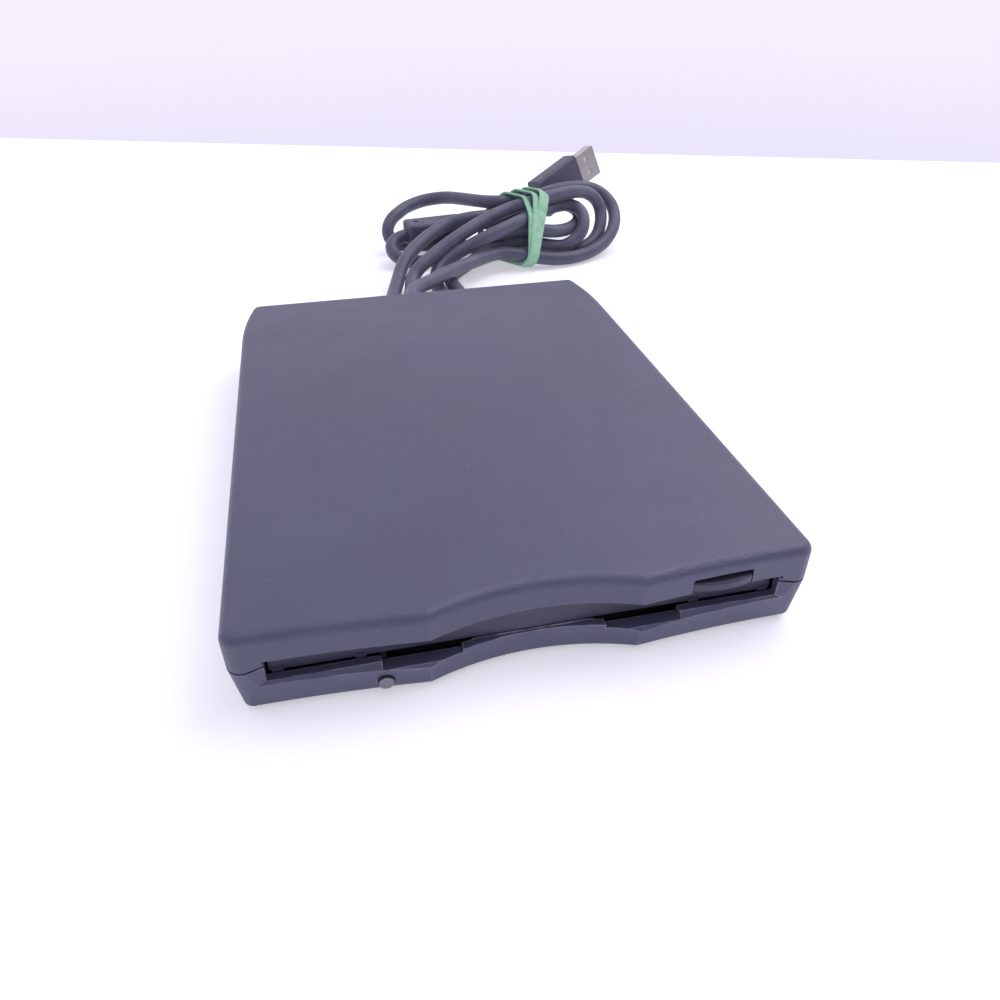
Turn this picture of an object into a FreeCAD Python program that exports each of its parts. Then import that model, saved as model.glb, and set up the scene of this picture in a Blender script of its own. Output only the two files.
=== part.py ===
"""External 3.5-inch USB floppy disk drive: case, dust door, slim drive mechanism and cord.

Units are millimetres. +X is right seen from the front, +Y points to the back, +Z is up.
The origin is on the ground under the middle of the case. Every rigid piece is one STEP file.
The mechanism stands as it does with no disk in: carrier up, slider back, heads open, door shut.
"""
import FreeCAD, Part
import math
import os

V = FreeCAD.Vector
X_AXIS, Y_AXIS, Z_AXIS = V(1, 0, 0), V(0, 1, 0), V(0, 0, 1)

# ---------------------------------------------------------------- overall case
DISK_WIDTH = 90.0
CASE_WIDTH = DISK_WIDTH + 14.0
CASE_DEPTH = 143.0
CASE_HEIGHT = 17.5
FOOT_PROUD = 0.8
WALL = 1.8
CORNER_R = 3.0            # upright corner at the front
REAR_CORNER_R = 2.5
REAR_TAPER_LENGTH = 23.0  # last stretch of each side, which curves inwards
REAR_TAPER_R = 95.0
FRONT_HORN_X = 18.75      # sharp kinks either side of the front scoop
FRONT_BOW = 1.5           # how far the horns stand in front of the corners
SCOOP_DEPTH = 3.5         # depth of the concave scoop behind the horns
TOP_EDGE_R = 1.9
LOWER_DRAFT = 1.4         # how far the lower shell's skirt leans in
BOTTOM_EDGE_R = 1.2
SEAM_HEIGHT = 9.8         # seam above the case's underside
SEAM_GAP = 0.4
LIP_DEPTH = 1.1           # tongue that the upper shell drops behind the seam
LIP_CLEARANCE = 0.05

# ---------------------------------------------------------------- disk and slot
DISK_LENGTH = 94.0
DISK_FRONT_SETBACK = 5.0  # from the horns to the trailing edge of a loaded disk
SLOT_SIDE_CLEARANCE = 1.0
SLOT_BOTTOM = 7.3
SLOT_TOP = 12.7
FUNNEL_DEPTH = 1.0
FUNNEL_DROP = 1.0
FUNNEL_FLARE = 3.0
FUNNEL_END_RISE = 11.8    # height at which the funnel's slanted ends stop
NOTCH_OUTER_X = 27.0
NOTCH_INNER_X = 13.0
NOTCH_TOP = 6.2
CENTRE_LIP_TOP = 7.0

# ---------------------------------------------------------------- dust door
DOOR_THICKNESS = 1.0
DOOR_FRONT_SETBACK = 4.5  # door's front face behind the horns
DOOR_BOTTOM = 7.5
DOOR_HINGE_Z = 12.7
DOOR_BARREL_R = 0.6
DOOR_PIN_R = 0.4
DOOR_PIN_LENGTH = 1.2
DOOR_SIDE_CLEARANCE = 0.4
DOOR_POCKET_HEADROOM = 0.3
DOOR_TAB_WIDTH = 1.9
DOOR_TAB_DROP = 1.0
DOOR_TAB_PROUD = 0.2
DOOR_TAB_X = (30.4, 44.2)
PIN_CLEARANCE = 0.05
LUG_WIDTH = 1.9
DOOR_SPRING_X = -37.0
DOOR_SPRING_LENGTH = 3.6
DOOR_COIL_R = 1.05        # outer radius of the door spring
DOOR_WIRE_R = 0.15

# ---------------------------------------------------------------- eject button
BUTTON_X = 33.8
BUTTON_WIDTH = 11.2
BUTTON_TOP = 14.6
BUTTON_GAP = 0.3
BUTTON_WINDOW_TOP = 15.7
BUTTON_BULGE = 0.9
BUTTON_DEPTH = 3.3
TAB_WIDTH = 5.0
TAB_BITE = 2.2

# ---------------------------------------------------------------- light
LED_X = -26.7
LED_Z = 3.3
LED_R = 1.5
LIGHT_PIPE_FLANGE = 0.5

# ---------------------------------------------------------------- drive chassis
CHASSIS_WIDTH = DISK_WIDTH + 6.0
CHASSIS_FRONT = -CASE_DEPTH / 2 + 6.5
CHASSIS_DEPTH = CASE_DEPTH - 18.0
CHASSIS_BASE_Z = 3.0
SHEET = 0.8
CHASSIS_WALL_TOP = 12.9
CHASSIS_WALL_FRONT = -57.5
COVER_Z = 14.6
COVER_SHEET = 0.4
RUN_GAP = 0.3             # side gap between sheets that slide past each other

# ---------------------------------------------------------------- slider and carrier
SLIDER_SHEET = 0.6
SLIDER_Z = 13.4
SLIDER_FRONT = -58.5
SLIDER_LENGTH = 92.5
SLIDER_WALL_BOTTOM = 7.2
SLIDER_TRAVEL = 4.5
CARRIER_SHEET = 0.5
CARRIER_PLATE_Z = 12.3
CARRIER_RAIL_Z = 7.6
CARRIER_RAIL_WIDTH = 4.0
CARRIER_FRONT = -58.5
CARRIER_LENGTH = 90.0
CARRIER_DROP = 2.0
GUIDE_PIN_R = 0.8
GUIDE_PIN_Z = 10.3
GUIDE_PIN_YS = (-44.0, 15.0)
SLOT_CLEARANCE = 0.1
HOOK_Y = -30.0
HOOK_WIDTH = 3.0
HOOK_Z = 4.4
SPRING_X = 39.6
SPRING_FRONT_Y = -52.0
SPRING_Z = 5.1
SPRING_R = 0.7
SPRING_WIRE_R = 0.18
SPRING_TURNS = 7

# ---------------------------------------------------------------- shutter lever
LEVER_PIVOT = (-DISK_WIDTH / 2 + 9.0, 22.0)
LEVER_REACH = 26.0
LEVER_REST_DEG = -32.5
LEVER_SWING_DEG = 48.0
LEVER_SHEET = 0.4
LEVER_LIFT = 0.15
LEVER_PIN_R = 1.0
LEVER_PIN_DROP = 3.4
LEVER_STUD_R = 1.2
LEVER_WIDTH = 4.4
LEVER_WIRE_R = 0.15

# ---------------------------------------------------------------- spindle
SPINDLE_Y = -21.0
BOARD_SHEET = 0.6
SHAFT_R = 2.0
SHAFT_TOP = 7.9
BUSH_R = 4.0
BUSH_HEIGHT = 1.9
ROTOR_R = 19.0
ROTOR_PLATE_Z = 6.0
ROTOR_SHEET = 0.6
ROTOR_SKIRT_Z = 4.9
HUB_R = 12.5
HUB_HEIGHT = 0.6
DRIVE_PIN_OFFSET = 10.0
DRIVE_PIN_R = 1.0
DRIVE_PIN_HEIGHT = 0.6
COIL_COUNT = 9
COIL_RING_R = 12.5
COIL_HEIGHT = 0.9
RUNNING_FIT = 0.05

# ---------------------------------------------------------------- head carriage
TRACK_PITCH = 0.1875
TRACK_COUNT = 80
TRACK_ZERO_R = 39.5       # spindle centre to the heads over the outermost track
HEAD_SIZE = 6.0
LOWER_HEAD_TOP = 7.9
TONGUE_WIDTH = 10.0
CARRIAGE_BOTTOM = 3.5
CARRIAGE_TOP = 5.8
SLED_WIDTH = 27.0
SLED_FRONT = 28.5
POST_FRONT = 43.5
POST_DEPTH = 6.0
POST_WIDTH = 16.0
RAIL_X = 11.0
RAIL_R = 1.0
RAIL_Z = 4.65
RAIL_FRONT = 11.5
RAIL_REAR = 53.0
RAIL_BLOCK_DEPTH = 1.7
ARM_PIVOT_Y = 46.5
ARM_PIVOT_Z = 11.2
ARM_PIVOT_R = 0.6
ARM_KNUCKLE_R = 1.3
ARM_WIDTH = 9.0
ARM_BOTTOM = 10.2
ARM_SHEET = 0.8
ARM_OPEN_DEG = 9.0
UPPER_HEAD_BOTTOM = 8.1

# ---------------------------------------------------------------- stepper motor
SCREW_X = 17.2
SCREW_Z = 9.1
SCREW_R = 1.5
SCREW_JOURNAL_R = 0.75
STEPS_PER_TURN = 20
SCREW_FRONT = 28.4
MOTOR_FRONT = 48.0
MOTOR_LENGTH = 11.0
MOTOR_R = 4.9
GROOVE_R = 0.5
FOLLOWER_R = 0.35
FOLLOWER_ARM = 1.6
BRACKET_SHEET = 0.8

# ---------------------------------------------------------------- boards
CONTROL_BOARD = (-44.5, 33.0, -15.0, 58.0)     # x0, y0, x1, y1
CONTROL_BOARD_Z = 4.6
BOARD_THICKNESS = 1.0
USB_BOARD = (-32.0, 61.0, 30.0, 67.8)
USB_BOARD_Z = 4.6
SENSOR_BOARD = (-42.0, -64.0, 42.0, -55.5)
SWITCH_SIZE = (4.0, 4.0, 2.2)
SWITCH_PLACES = ((-39.0, -58.5), (39.0, -58.5), (-34.0, -58.5))
PLUNGER_R = 0.6
PLUNGER_TOP = 7.3
PLUNGER_COLLAR_R = 1.0
PLUNGER_COLLAR = 0.3
SWITCH_WALL = 0.3

# ---------------------------------------------------------------- fasteners and feet
FOOT_R = 4.0
FOOT_RECESS = 0.4
FOOT_PLACES = ((-42.0, -58.0), (42.0, -58.0), (-42.0, 54.0), (42.0, 54.0))
CASE_SCREW_PLACES = ((-43.5, 64.8), (43.5, 64.8))
DRIVE_SCREW_PLACES = ((-40.0, -40.0), (40.0, -40.0), (-40.0, 40.0), (40.0, 40.0))
SCREW_HEAD_R = 2.1
SCREW_HEAD_HEIGHT = 1.1
SCREW_SHANK_R = 1.2
SCREW_BOSS_R = 2.8

# ---------------------------------------------------------------- cord
CORD_R = 2.5
GLAND_Z = 9.6
GLAND_R = 4.0
GLAND_TIP_R = 3.1
GLAND_LENGTH = 14.0
GLAND_GROOVE = 0.6
CORD_ROUTE = ((0.0, 85.5, 9.6), (0.0, 92.0, 9.6), (3.0, 98.5, 9.3), (8.5, 104.5, 8.8),
              (14.5, 111.5, 8.4), (21.5, 118.5, 8.1), (29.5, 125.5, 7.8))
HANK_CENTRE = (50.0, 140.0)
HANK_TURN_DEG = 16.0
HANK_FLOOR = 0.2
HANK_BODY_FLOOR = 0.9     # leaves room for the band below the bundle
HANK_SIDES = 20
# along the hank: station, sideways centre, centre height, long half, short half, lean in degrees
HANK_SECTIONS = ((-45.0, 1.5, 8.5, 10.0, 4.0, 8.0), (-30.0, 6.0, 8.6, 12.5, 8.2, 8.0),
                 (-15.0, 5.6, 11.2, 13.0, 9.4, 12.0), (2.0, 5.4, 12.4, 16.8, 11.2, 30.0),
                 (20.0, 5.4, 13.2, 19.4, 10.8, 36.0), (35.0, 5.0, 13.6, 15.5, 9.0, 36.0),
                 (49.5, 5.5, 15.6, 6.0, 4.6, 30.0))
# strands of the bundle that stand clear of its body
BACK_LOOP = ((46.5, 153.3, 20.6), (40.0, 157.3, 20.2), (34.0, 166.5, 19.2), (27.0, 176.4, 18.0),
             (18.0, 179.6, 16.6), (9.6, 175.8, 15.2), (4.6, 170.4, 12.8), (3.0, 166.4, 8.8),
             (5.0, 164.2, 5.2), (11.0, 164.0, 3.2), (20.0, 161.6, 2.9), (30.0, 157.6, 2.8),
             (43.0, 152.0, 2.9))
SIDE_LOOP = ((34.5, 148.0, 6.6), (25.5, 146.5, 4.6), (17.0, 144.2, 3.2), (9.0, 143.0, 3.2),
             (3.2, 145.2, 4.4), (1.4, 150.0, 7.0), (4.6, 154.2, 9.2), (9.0, 155.6, 10.0))
PLUG_LEAD = ((28.0, 158.4, 10.2), (38.0, 159.8, 11.0), (48.5, 162.0, 12.4), (58.3, 164.7, 14.0))
LEFT_STRANDS = (((-5.6, 101.0, 2.8), (-4.6, 111.0, 3.2), (-1.6, 120.0, 5.0), (1.6, 127.5, 7.8),
                 (6.4, 134.4, 10.2), (13.4, 141.5, 12.4)),
                ((1.4, 107.0, 3.0), (3.2, 115.0, 4.2), (7.4, 122.0, 7.6), (14.5, 128.2, 10.4),
                 (22.0, 132.4, 13.0)),
                ((13.4, 106.0, 2.9), (12.4, 115.0, 3.2), (13.8, 123.4, 5.0), (19.0, 128.6, 8.0),
                 (27.0, 131.6, 11.0)),
                ((19.4, 103.0, 2.8), (18.0, 113.0, 2.8), (18.6, 122.0, 2.8), (23.5, 130.5, 3.0),
                 (32.0, 137.6, 4.4)))
LEFT_FOLD = (7.0, 98.0)   # centre of the folds that lie on the ground
LEFT_FOLD_OUTER_R = 15.6
LEFT_FOLD_INNER_R = 4.6
BAND_STATION = 3.0
BAND_WIDTH = 7.0
BAND_THICKNESS = 1.6
PLUG_FACE = (83.5, 178.8, 23.9)
PLUG_TURN_DEG = 29.6
PLUG_PITCH_DEG = 19.0
PLUG_ROLL_DEG = 12.6
PLUG_BODY = (22.0, 15.6, 8.2)     # length, width, thickness
PLUG_SHELL = (12.0, 12.0, 4.5)
PLUG_SHELL_SHEET = 0.3
PLUG_TONGUE = (9.0, 11.0, 2.0)
SLEEVE_CENTRE = (18.5, 157.0, 10.2)
SLEEVE_TURN_DEG = 8.0
SLEEVE_SIZE = (23.0, 11.0, 9.4)

# ---------------------------------------------------------------- derived places
CASE_BASE = FOOT_PROUD
CASE_TOP = CASE_BASE + CASE_HEIGHT
CASE_FLOOR = CASE_BASE + WALL
CASE_CEILING = CASE_TOP - WALL
SEAM_LOW = CASE_BASE + SEAM_HEIGHT - SEAM_GAP / 2
SEAM_HIGH = SEAM_LOW + SEAM_GAP
FRONT_Y = -CASE_DEPTH / 2
REAR_Y = CASE_DEPTH / 2
CORNER_Y = FRONT_Y + FRONT_BOW
SCOOP_Y = FRONT_Y + SCOOP_DEPTH
SLOT_HALF = DISK_WIDTH / 2 + SLOT_SIDE_CLEARANCE
DOOR_FRONT_Y = FRONT_Y + DOOR_FRONT_SETBACK
DOOR_HINGE_Y = DOOR_FRONT_Y + 0.7 * DOOR_THICKNESS
DOOR_HALF = SLOT_HALF - DOOR_SIDE_CLEARANCE
POCKET_Y = DOOR_FRONT_Y - DOOR_POCKET_HEADROOM
POCKET_HALF = SLOT_HALF + 1.5
CHASSIS_HALF = CHASSIS_WIDTH / 2
CHASSIS_REAR = CHASSIS_FRONT + CHASSIS_DEPTH
CHASSIS_TOP = CHASSIS_BASE_Z + SHEET
SLIDER_HALF = CHASSIS_HALF - SHEET - RUN_GAP
CARRIER_HALF = SLIDER_HALF - SLIDER_SHEET - RUN_GAP
SLIDER_REAR = SLIDER_FRONT + SLIDER_LENGTH
CARRIER_REAR = CARRIER_FRONT + CARRIER_LENGTH
DISK_LEAD_Y = FRONT_Y + DISK_FRONT_SETBACK + DISK_LENGTH
LEVER_Z = CARRIER_PLATE_Z + CARRIER_SHEET + LEVER_LIFT
HEAD_Y = SPINDLE_Y + TRACK_ZERO_R
HEAD_TRAVEL = TRACK_PITCH * (TRACK_COUNT - 1)
SCREW_LEAD = TRACK_PITCH * STEPS_PER_TURN
FOLLOWER_Y = MOTOR_FRONT - BRACKET_SHEET - RUN_GAP - FOLLOWER_ARM / 2


# ================================================================ small helpers
def box(x0, y0, z0, x1, y1, z1):
    """Box between two opposite corners."""
    return Part.makeBox(x1 - x0, y1 - y0, z1 - z0, V(x0, y0, z0))


def rod(x, y, z, radius, length, direction=Z_AXIS):
    """Cylinder from a start point along a direction."""
    return Part.makeCylinder(radius, length, V(x, y, z), direction)


def plate(points, z0, z1):
    """Upright prism over a closed polygon of (x, y) points."""
    corners = [V(x, y, z0) for x, y in points]
    face = Part.Face(Part.makePolygon(corners + corners[:1]))
    return face.extrude(V(0, 0, z1 - z0))


def slot_yz(y0, z0, y1, z1, radius, x0, x1):
    """Round-ended slot cutter between two centres in the YZ plane, cut along X."""
    angle = math.degrees(math.atan2(z1 - z0, y1 - y0))
    length = math.hypot(y1 - y0, z1 - z0)
    bar = box(x0, 0, -radius, x1, length, radius)
    bar = bar.fuse([rod(x0, 0, 0, radius, x1 - x0, X_AXIS), rod(x0, length, 0, radius, x1 - x0, X_AXIS)])
    bar.rotate(V(0, 0, 0), X_AXIS, angle)
    bar.translate(V(0, y0, z0))
    return bar


def mirrored(shape):
    """The same shape on the other side of the YZ plane."""
    return shape.mirror(V(0, 0, 0), X_AXIS)


def both_sides(shape):
    """A shape and its mirror image, as a list."""
    return [shape, mirrored(shape)]


def rounded_box(x0, y0, z0, x1, y1, z1, radius, direction=Z_AXIS):
    """Box whose edges along one direction are rounded."""
    solid = box(x0, y0, z0, x1, y1, z1)
    edges = [e for e in solid.Edges if e.tangentAt(e.FirstParameter).cross(direction).Length < 1e-6]
    return solid.makeFillet(radius, edges)


def circle_wire(radius, centre, normal):
    """Closed circle as a wire."""
    return Part.Wire(Part.makeCircle(radius, centre, normal))


# ================================================================ case outline
def circles_meet(centre_a, radius_a, centre_b, radius_b):
    """Rearmost of the two points where two circles in the plan cross."""
    between = centre_b - centre_a
    gap = between.Length
    along = (gap * gap + radius_a ** 2 - radius_b ** 2) / (2 * gap)
    aside = math.sqrt(radius_a ** 2 - along ** 2)
    unit = between / gap
    normal = V(-unit.y, unit.x, 0)
    points = [centre_a + unit * along + normal * side * aside for side in (1, -1)]
    return max(points, key=lambda p: p.y)


def scoop_radius():
    """Radius of the concave front scoop from its width and depth."""
    return (FRONT_HORN_X ** 2 + SCOOP_DEPTH ** 2) / (2 * SCOOP_DEPTH)


def front_y(x, inset=0.0):
    """Y of the case's front line at a given x, moved in by an inset."""
    reach = CASE_WIDTH / 2 - CORNER_R
    flank = (reach - FRONT_HORN_X) ** 2 / (2 * FRONT_BOW) + FRONT_BOW / 2
    scoop = scoop_radius()
    flank_y = CORNER_Y - flank + math.sqrt((flank + inset) ** 2 - (min(abs(x), reach) - reach) ** 2)
    if abs(x) >= scoop + inset:
        return flank_y
    scoop_y = SCOOP_Y - scoop + math.sqrt((scoop + inset) ** 2 - x * x)
    return scoop_y if abs(x) < horn(inset).x else flank_y


def horn(inset):
    """Sharp kink on the right of the scoop, for an outline moved in by an inset."""
    reach = CASE_WIDTH / 2 - CORNER_R
    flank = (reach - FRONT_HORN_X) ** 2 / (2 * FRONT_BOW) + FRONT_BOW / 2
    flank_centre = V(reach, CORNER_Y - flank, 0)
    scoop_centre = V(0, SCOOP_Y - scoop_radius(), 0)
    return circles_meet(scoop_centre, scoop_radius() + inset, flank_centre, flank + inset)


def side_x(y, inset=0.0):
    """Half width of the case outline at a given y behind the front corner."""
    taper_start = REAR_Y - REAR_TAPER_LENGTH
    centre_x = CASE_WIDTH / 2 - REAR_TAPER_R
    if y <= taper_start:
        return CASE_WIDTH / 2 - inset
    return centre_x + math.sqrt((REAR_TAPER_R - inset) ** 2 - (y - taper_start) ** 2)


def right_outline(inset):
    """Points of the right half of the plan outline: horn, corners, side and rear."""
    corner = max(CORNER_R - inset, 0.4)
    rear = max(REAR_CORNER_R - inset, 0.4)
    side = CASE_WIDTH / 2 - inset
    diagonal = math.sqrt(0.5)
    taper_start = REAR_Y - REAR_TAPER_LENGTH
    arc_centre = V(CASE_WIDTH / 2 - REAR_TAPER_R, taper_start, 0)
    rear_up = REAR_Y - inset - rear - taper_start
    rear_centre = arc_centre + V(math.sqrt((REAR_TAPER_R - inset - rear) ** 2 - rear_up ** 2), rear_up, 0)
    outwards = (rear_centre - arc_centre).normalize()
    middle = (outwards + Y_AXIS).normalize()
    flank_end = V(side - corner, CORNER_Y + inset, 0)
    flank_mid_x = (flank_end.x + horn(inset).x) / 2
    taper_mid_y = (taper_start + rear_centre.y) / 2
    return {
        "horn": horn(inset),
        "flank_mid": V(flank_mid_x, front_y(flank_mid_x, inset), 0),
        "flank_end": flank_end,
        "corner_mid": V(side - corner + corner * diagonal, CORNER_Y + inset + corner - corner * diagonal, 0),
        "side_front": V(side, CORNER_Y + inset + corner, 0),
        "side_rear": V(side, taper_start, 0),
        "taper_mid": V(side_x(taper_mid_y, inset), taper_mid_y, 0),
        "taper_end": rear_centre + outwards * rear,
        "rear_mid": rear_centre + middle * rear,
        "rear_end": rear_centre + Y_AXIS * rear,
    }


def outline(inset, z):
    """Closed plan outline of the case, moved in by an inset, at a height."""
    right = right_outline(inset)
    left = {name: V(-p.x, p.y, 0) for name, p in right.items()}

    def arc(a, b, c):
        return Part.Arc(a, b, c).toShape()

    def half(side):
        return [arc(side["horn"], side["flank_mid"], side["flank_end"]),
                arc(side["flank_end"], side["corner_mid"], side["side_front"]),
                Part.LineSegment(side["side_front"], side["side_rear"]).toShape(),
                arc(side["side_rear"], side["taper_mid"], side["taper_end"]),
                arc(side["taper_end"], side["rear_mid"], side["rear_end"])]

    scoop = arc(left["horn"], V(0, SCOOP_Y + inset, 0), right["horn"])
    rear = Part.LineSegment(right["rear_end"], left["rear_end"]).toShape()
    wire = Part.Wire(Part.__sortEdges__([scoop] + half(right) + [rear] + half(left)))
    wire.translate(V(0, 0, z))
    return wire


def outline_solid(inset, z0, z1, foot_inset=None):
    """Solid over the outline; a foot inset of its own gives the walls a draft."""
    if foot_inset is None:
        return Part.Face(outline(inset, z0)).extrude(V(0, 0, z1 - z0))
    return Part.makeLoft([outline(foot_inset, z0), outline(inset, z1)], True, True)


def edges_at(solid, z):
    """Edges that lie flat at one height."""
    return [e for e in solid.Edges
            if abs(e.BoundBox.ZMin - z) < 1e-4 and abs(e.BoundBox.ZMax - z) < 1e-4]


# ================================================================ case shells
def funnel_cutter():
    """Flared mouth in front of the slot, narrowing from the front face to the slot itself."""
    outer_y = FRONT_Y - 0.5
    depth = CORNER_Y + FUNNEL_DEPTH - outer_y
    slope = (CORNER_Y + FUNNEL_DEPTH - outer_y) / FUNNEL_DEPTH
    low = SLOT_BOTTOM - FUNNEL_DROP * slope
    wide = SLOT_HALF + FUNNEL_FLARE * slope
    rise = SEAM_HIGH

    def ring(y, half_low, half_mid, z_low):
        points = [V(-half_low, y, z_low), V(half_low, y, z_low), V(half_mid, y, rise),
                  V(SLOT_HALF, y, FUNNEL_END_RISE), V(SLOT_HALF, y, SLOT_TOP),
                  V(-SLOT_HALF, y, SLOT_TOP), V(-SLOT_HALF, y, FUNNEL_END_RISE), V(-half_mid, y, rise)]
        return Part.makePolygon(points + points[:1])

    inner = ring(outer_y + depth, SLOT_HALF, SLOT_HALF + 0.01, SLOT_BOTTOM)
    outer = ring(outer_y, wide - 0.6, wide, low)
    return Part.makeLoft([outer, inner], True, True)


def notch_cutters():
    """Finger notches beside the scoop, and the slightly lower lip in its middle."""
    depth_end = POCKET_Y + 0.2
    cutters = []
    for x0, x1, z in ((-NOTCH_OUTER_X, -NOTCH_INNER_X, NOTCH_TOP), (NOTCH_INNER_X, NOTCH_OUTER_X, NOTCH_TOP),
                      (-NOTCH_INNER_X - 0.01, NOTCH_INNER_X + 0.01, CENTRE_LIP_TOP)):
        cutters.append(box(x0, FRONT_Y - 1, z, x1, depth_end, SLOT_TOP))
    return cutters


def slot_cutter():
    """Slot through the front wall, and the pocket behind it in which the door hangs."""
    slot = box(-SLOT_HALF, FRONT_Y - 1, SLOT_BOTTOM, SLOT_HALF, POCKET_Y + 1, SLOT_TOP)
    return slot


def door_pocket(z0, z1):
    """Hollow behind the front wall for the door and its swing."""
    return box(-POCKET_HALF, POCKET_Y, z0, POCKET_HALF, FRONT_Y + 2 * WALL + SCOOP_DEPTH + 1, z1)


def button_window():
    """Opening for the eject button, above the slot and joined to it."""
    half = BUTTON_WIDTH / 2 + BUTTON_GAP
    return rounded_box(BUTTON_X - half, FRONT_Y - 1, SLOT_TOP - 1, BUTTON_X + half, POCKET_Y + 1,
                       BUTTON_WINDOW_TOP, 0.4, Y_AXIS)


def upper_shell():
    """Upper case shell with its rounded top edge and open underside."""
    solid = outline_solid(0, SEAM_HIGH, CASE_TOP)
    solid = solid.makeFillet(TOP_EDGE_R, edges_at(solid, CASE_TOP))
    return solid.cut(outline_solid(WALL, SEAM_HIGH - 1, CASE_CEILING))


def seam_lip():
    """Tongue under the upper shell's wall that hides the seam from inside."""
    ring = outline_solid(WALL / 2 + LIP_CLEARANCE, SEAM_HIGH - LIP_DEPTH - SEAM_GAP / 2, SEAM_HIGH + 0.5)
    ring = ring.cut(outline_solid(WALL, SEAM_HIGH - 2 * LIP_DEPTH, SEAM_HIGH + 1))
    front_gap = box(-CASE_WIDTH / 2 + WALL + 1, FRONT_Y - 1, 0, CASE_WIDTH / 2 - WALL - 1, FRONT_Y + 8,
                    CASE_TOP)
    return ring.cut(front_gap)


def screw_post(x, y, z0, z1):
    """Post with a pilot hole for a self-tapping screw."""
    post = rod(x, y, z0, SCREW_BOSS_R, z1 - z0)
    return post, rod(x, y, z0 - 1, SCREW_SHANK_R - 0.1, z1 - z0 - 1)


def hinge_lugs():
    """Two lugs under the upper shell's ceiling that hold the door's pins."""
    inner = DOOR_HALF + 0.2
    lug = box(inner, POCKET_Y, DOOR_HINGE_Z - 1.3, inner + LUG_WIDTH, DOOR_HINGE_Y + 1.6, CASE_CEILING + 0.2)
    hole = rod(inner - 1, DOOR_HINGE_Y, DOOR_HINGE_Z, DOOR_PIN_R + PIN_CLEARANCE, LUG_WIDTH + 2, X_AXIS)
    return both_sides(lug.cut(hole))


def upper_case():
    """Upper shell with the slot, button window, seam lip, screw posts and hinge lugs."""
    shell = upper_shell().fuse(seam_lip())
    shell = shell.cut(door_pocket(SEAM_HIGH - 2 * LIP_DEPTH, CASE_CEILING))
    posts, pilots = [], []
    for x, y in CASE_SCREW_PLACES:
        post, pilot = screw_post(x, y, CASE_FLOOR + 1.2, CASE_CEILING + 0.2)
        posts.append(post)
        pilots.append(pilot)
    shell = shell.fuse(posts + hinge_lugs())
    shell = shell.cut(pilots + [funnel_cutter(), slot_cutter(), button_window(), door_spring_recess()])
    return shell.cut(gland_seat()).removeSplitter()


def gland_seat():
    """Round hole in the rear wall that both shells share, and room behind it for the boot's inner collar."""
    hole = rod(0, REAR_Y - 2 * WALL, GLAND_Z, GLAND_R - GLAND_GROOVE, 3 * WALL, Y_AXIS)
    collar = rod(0, REAR_Y - 4 * WALL, GLAND_Z, GLAND_R + LIP_CLEARANCE, 3 * WALL, Y_AXIS)
    return [hole, collar]


def lower_shell():
    """Lower case tub with drafted outer walls and a rounded bottom edge."""
    solid = outline_solid(0, CASE_BASE, SEAM_LOW, LOWER_DRAFT)
    solid = solid.makeFillet(BOTTOM_EDGE_R, edges_at(solid, CASE_BASE))
    rise = (SEAM_LOW - CASE_FLOOR) / (SEAM_LOW - CASE_BASE)
    hollow = outline_solid(WALL, CASE_FLOOR, SEAM_LOW, WALL + LOWER_DRAFT * rise * 0.5)
    hollow = hollow.fuse(outline_solid(WALL, SEAM_LOW - 0.01, SEAM_LOW + 1))
    rebate_floor = SEAM_HIGH - LIP_DEPTH - SEAM_GAP / 2 - 0.1
    rebate = outline_solid(WALL / 2, rebate_floor, SEAM_LOW + 1)
    return solid.cut([hollow, rebate])


def front_lip():
    """Thick lip along the lower shell's front that carries the funnel and the notches."""
    lip = outline_solid(0, SEAM_LOW - 5, SEAM_LOW, LOWER_DRAFT * 5 / SEAM_HEIGHT)
    keep = box(-SLOT_HALF - FUNNEL_FLARE, FRONT_Y - 1, SEAM_LOW - 5, SLOT_HALF + FUNNEL_FLARE,
               POCKET_Y - DOOR_TAB_PROUD, SEAM_LOW)
    return lip.common(keep)


def floor_bosses():
    """Pads that the chassis stands on, and the posts below the case screws."""
    pads = [rod(x, y, CASE_FLOOR - 0.2, SCREW_BOSS_R, CHASSIS_BASE_Z - CASE_FLOOR + 0.2)
            for x, y in DRIVE_SCREW_PLACES]
    seats = [rod(x, y, CASE_FLOOR - 0.2, SCREW_BOSS_R, 1.2 + 0.2) for x, y in CASE_SCREW_PLACES]
    board_posts = [rod(x, (USB_BOARD[1] + USB_BOARD[3]) / 2, CASE_FLOOR - 0.2, 1.5,
                       USB_BOARD_Z - CASE_FLOOR + 0.2) for x in (USB_BOARD[0] + 4, USB_BOARD[2] - 4)]
    return pads + seats + board_posts


def screw_holes():
    """Countersunk holes from below for the case screws and the drive screws."""
    holes = []
    for x, y in CASE_SCREW_PLACES + DRIVE_SCREW_PLACES:
        holes.append(rod(x, y, CASE_BASE - 1, SCREW_HEAD_R + 0.2, SCREW_HEAD_HEIGHT + 1))
        holes.append(rod(x, y, CASE_BASE - 1, SCREW_SHANK_R + 0.1, 8))
    return holes


def foot_recesses():
    """Shallow round recesses that the rubber feet are glued into."""
    return [rod(x, y, CASE_BASE - 1, FOOT_R + 0.1, FOOT_RECESS + 1) for x, y in FOOT_PLACES]


def light_hole():
    """Hole in the front for the light pipe."""
    return rod(LED_X, FRONT_Y - 1, LED_Z, LED_R + 0.05, 5, Y_AXIS)


def light_pipe_socket():
    """Pad behind the front wall that the light pipe's flange sits against."""
    wall = front_y(LED_X) + WALL + LOWER_DRAFT
    return box(LED_X - 3, front_y(LED_X) + LOWER_DRAFT, CASE_FLOOR - 0.5, LED_X + 3, wall, LED_Z + 2.2)


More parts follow.
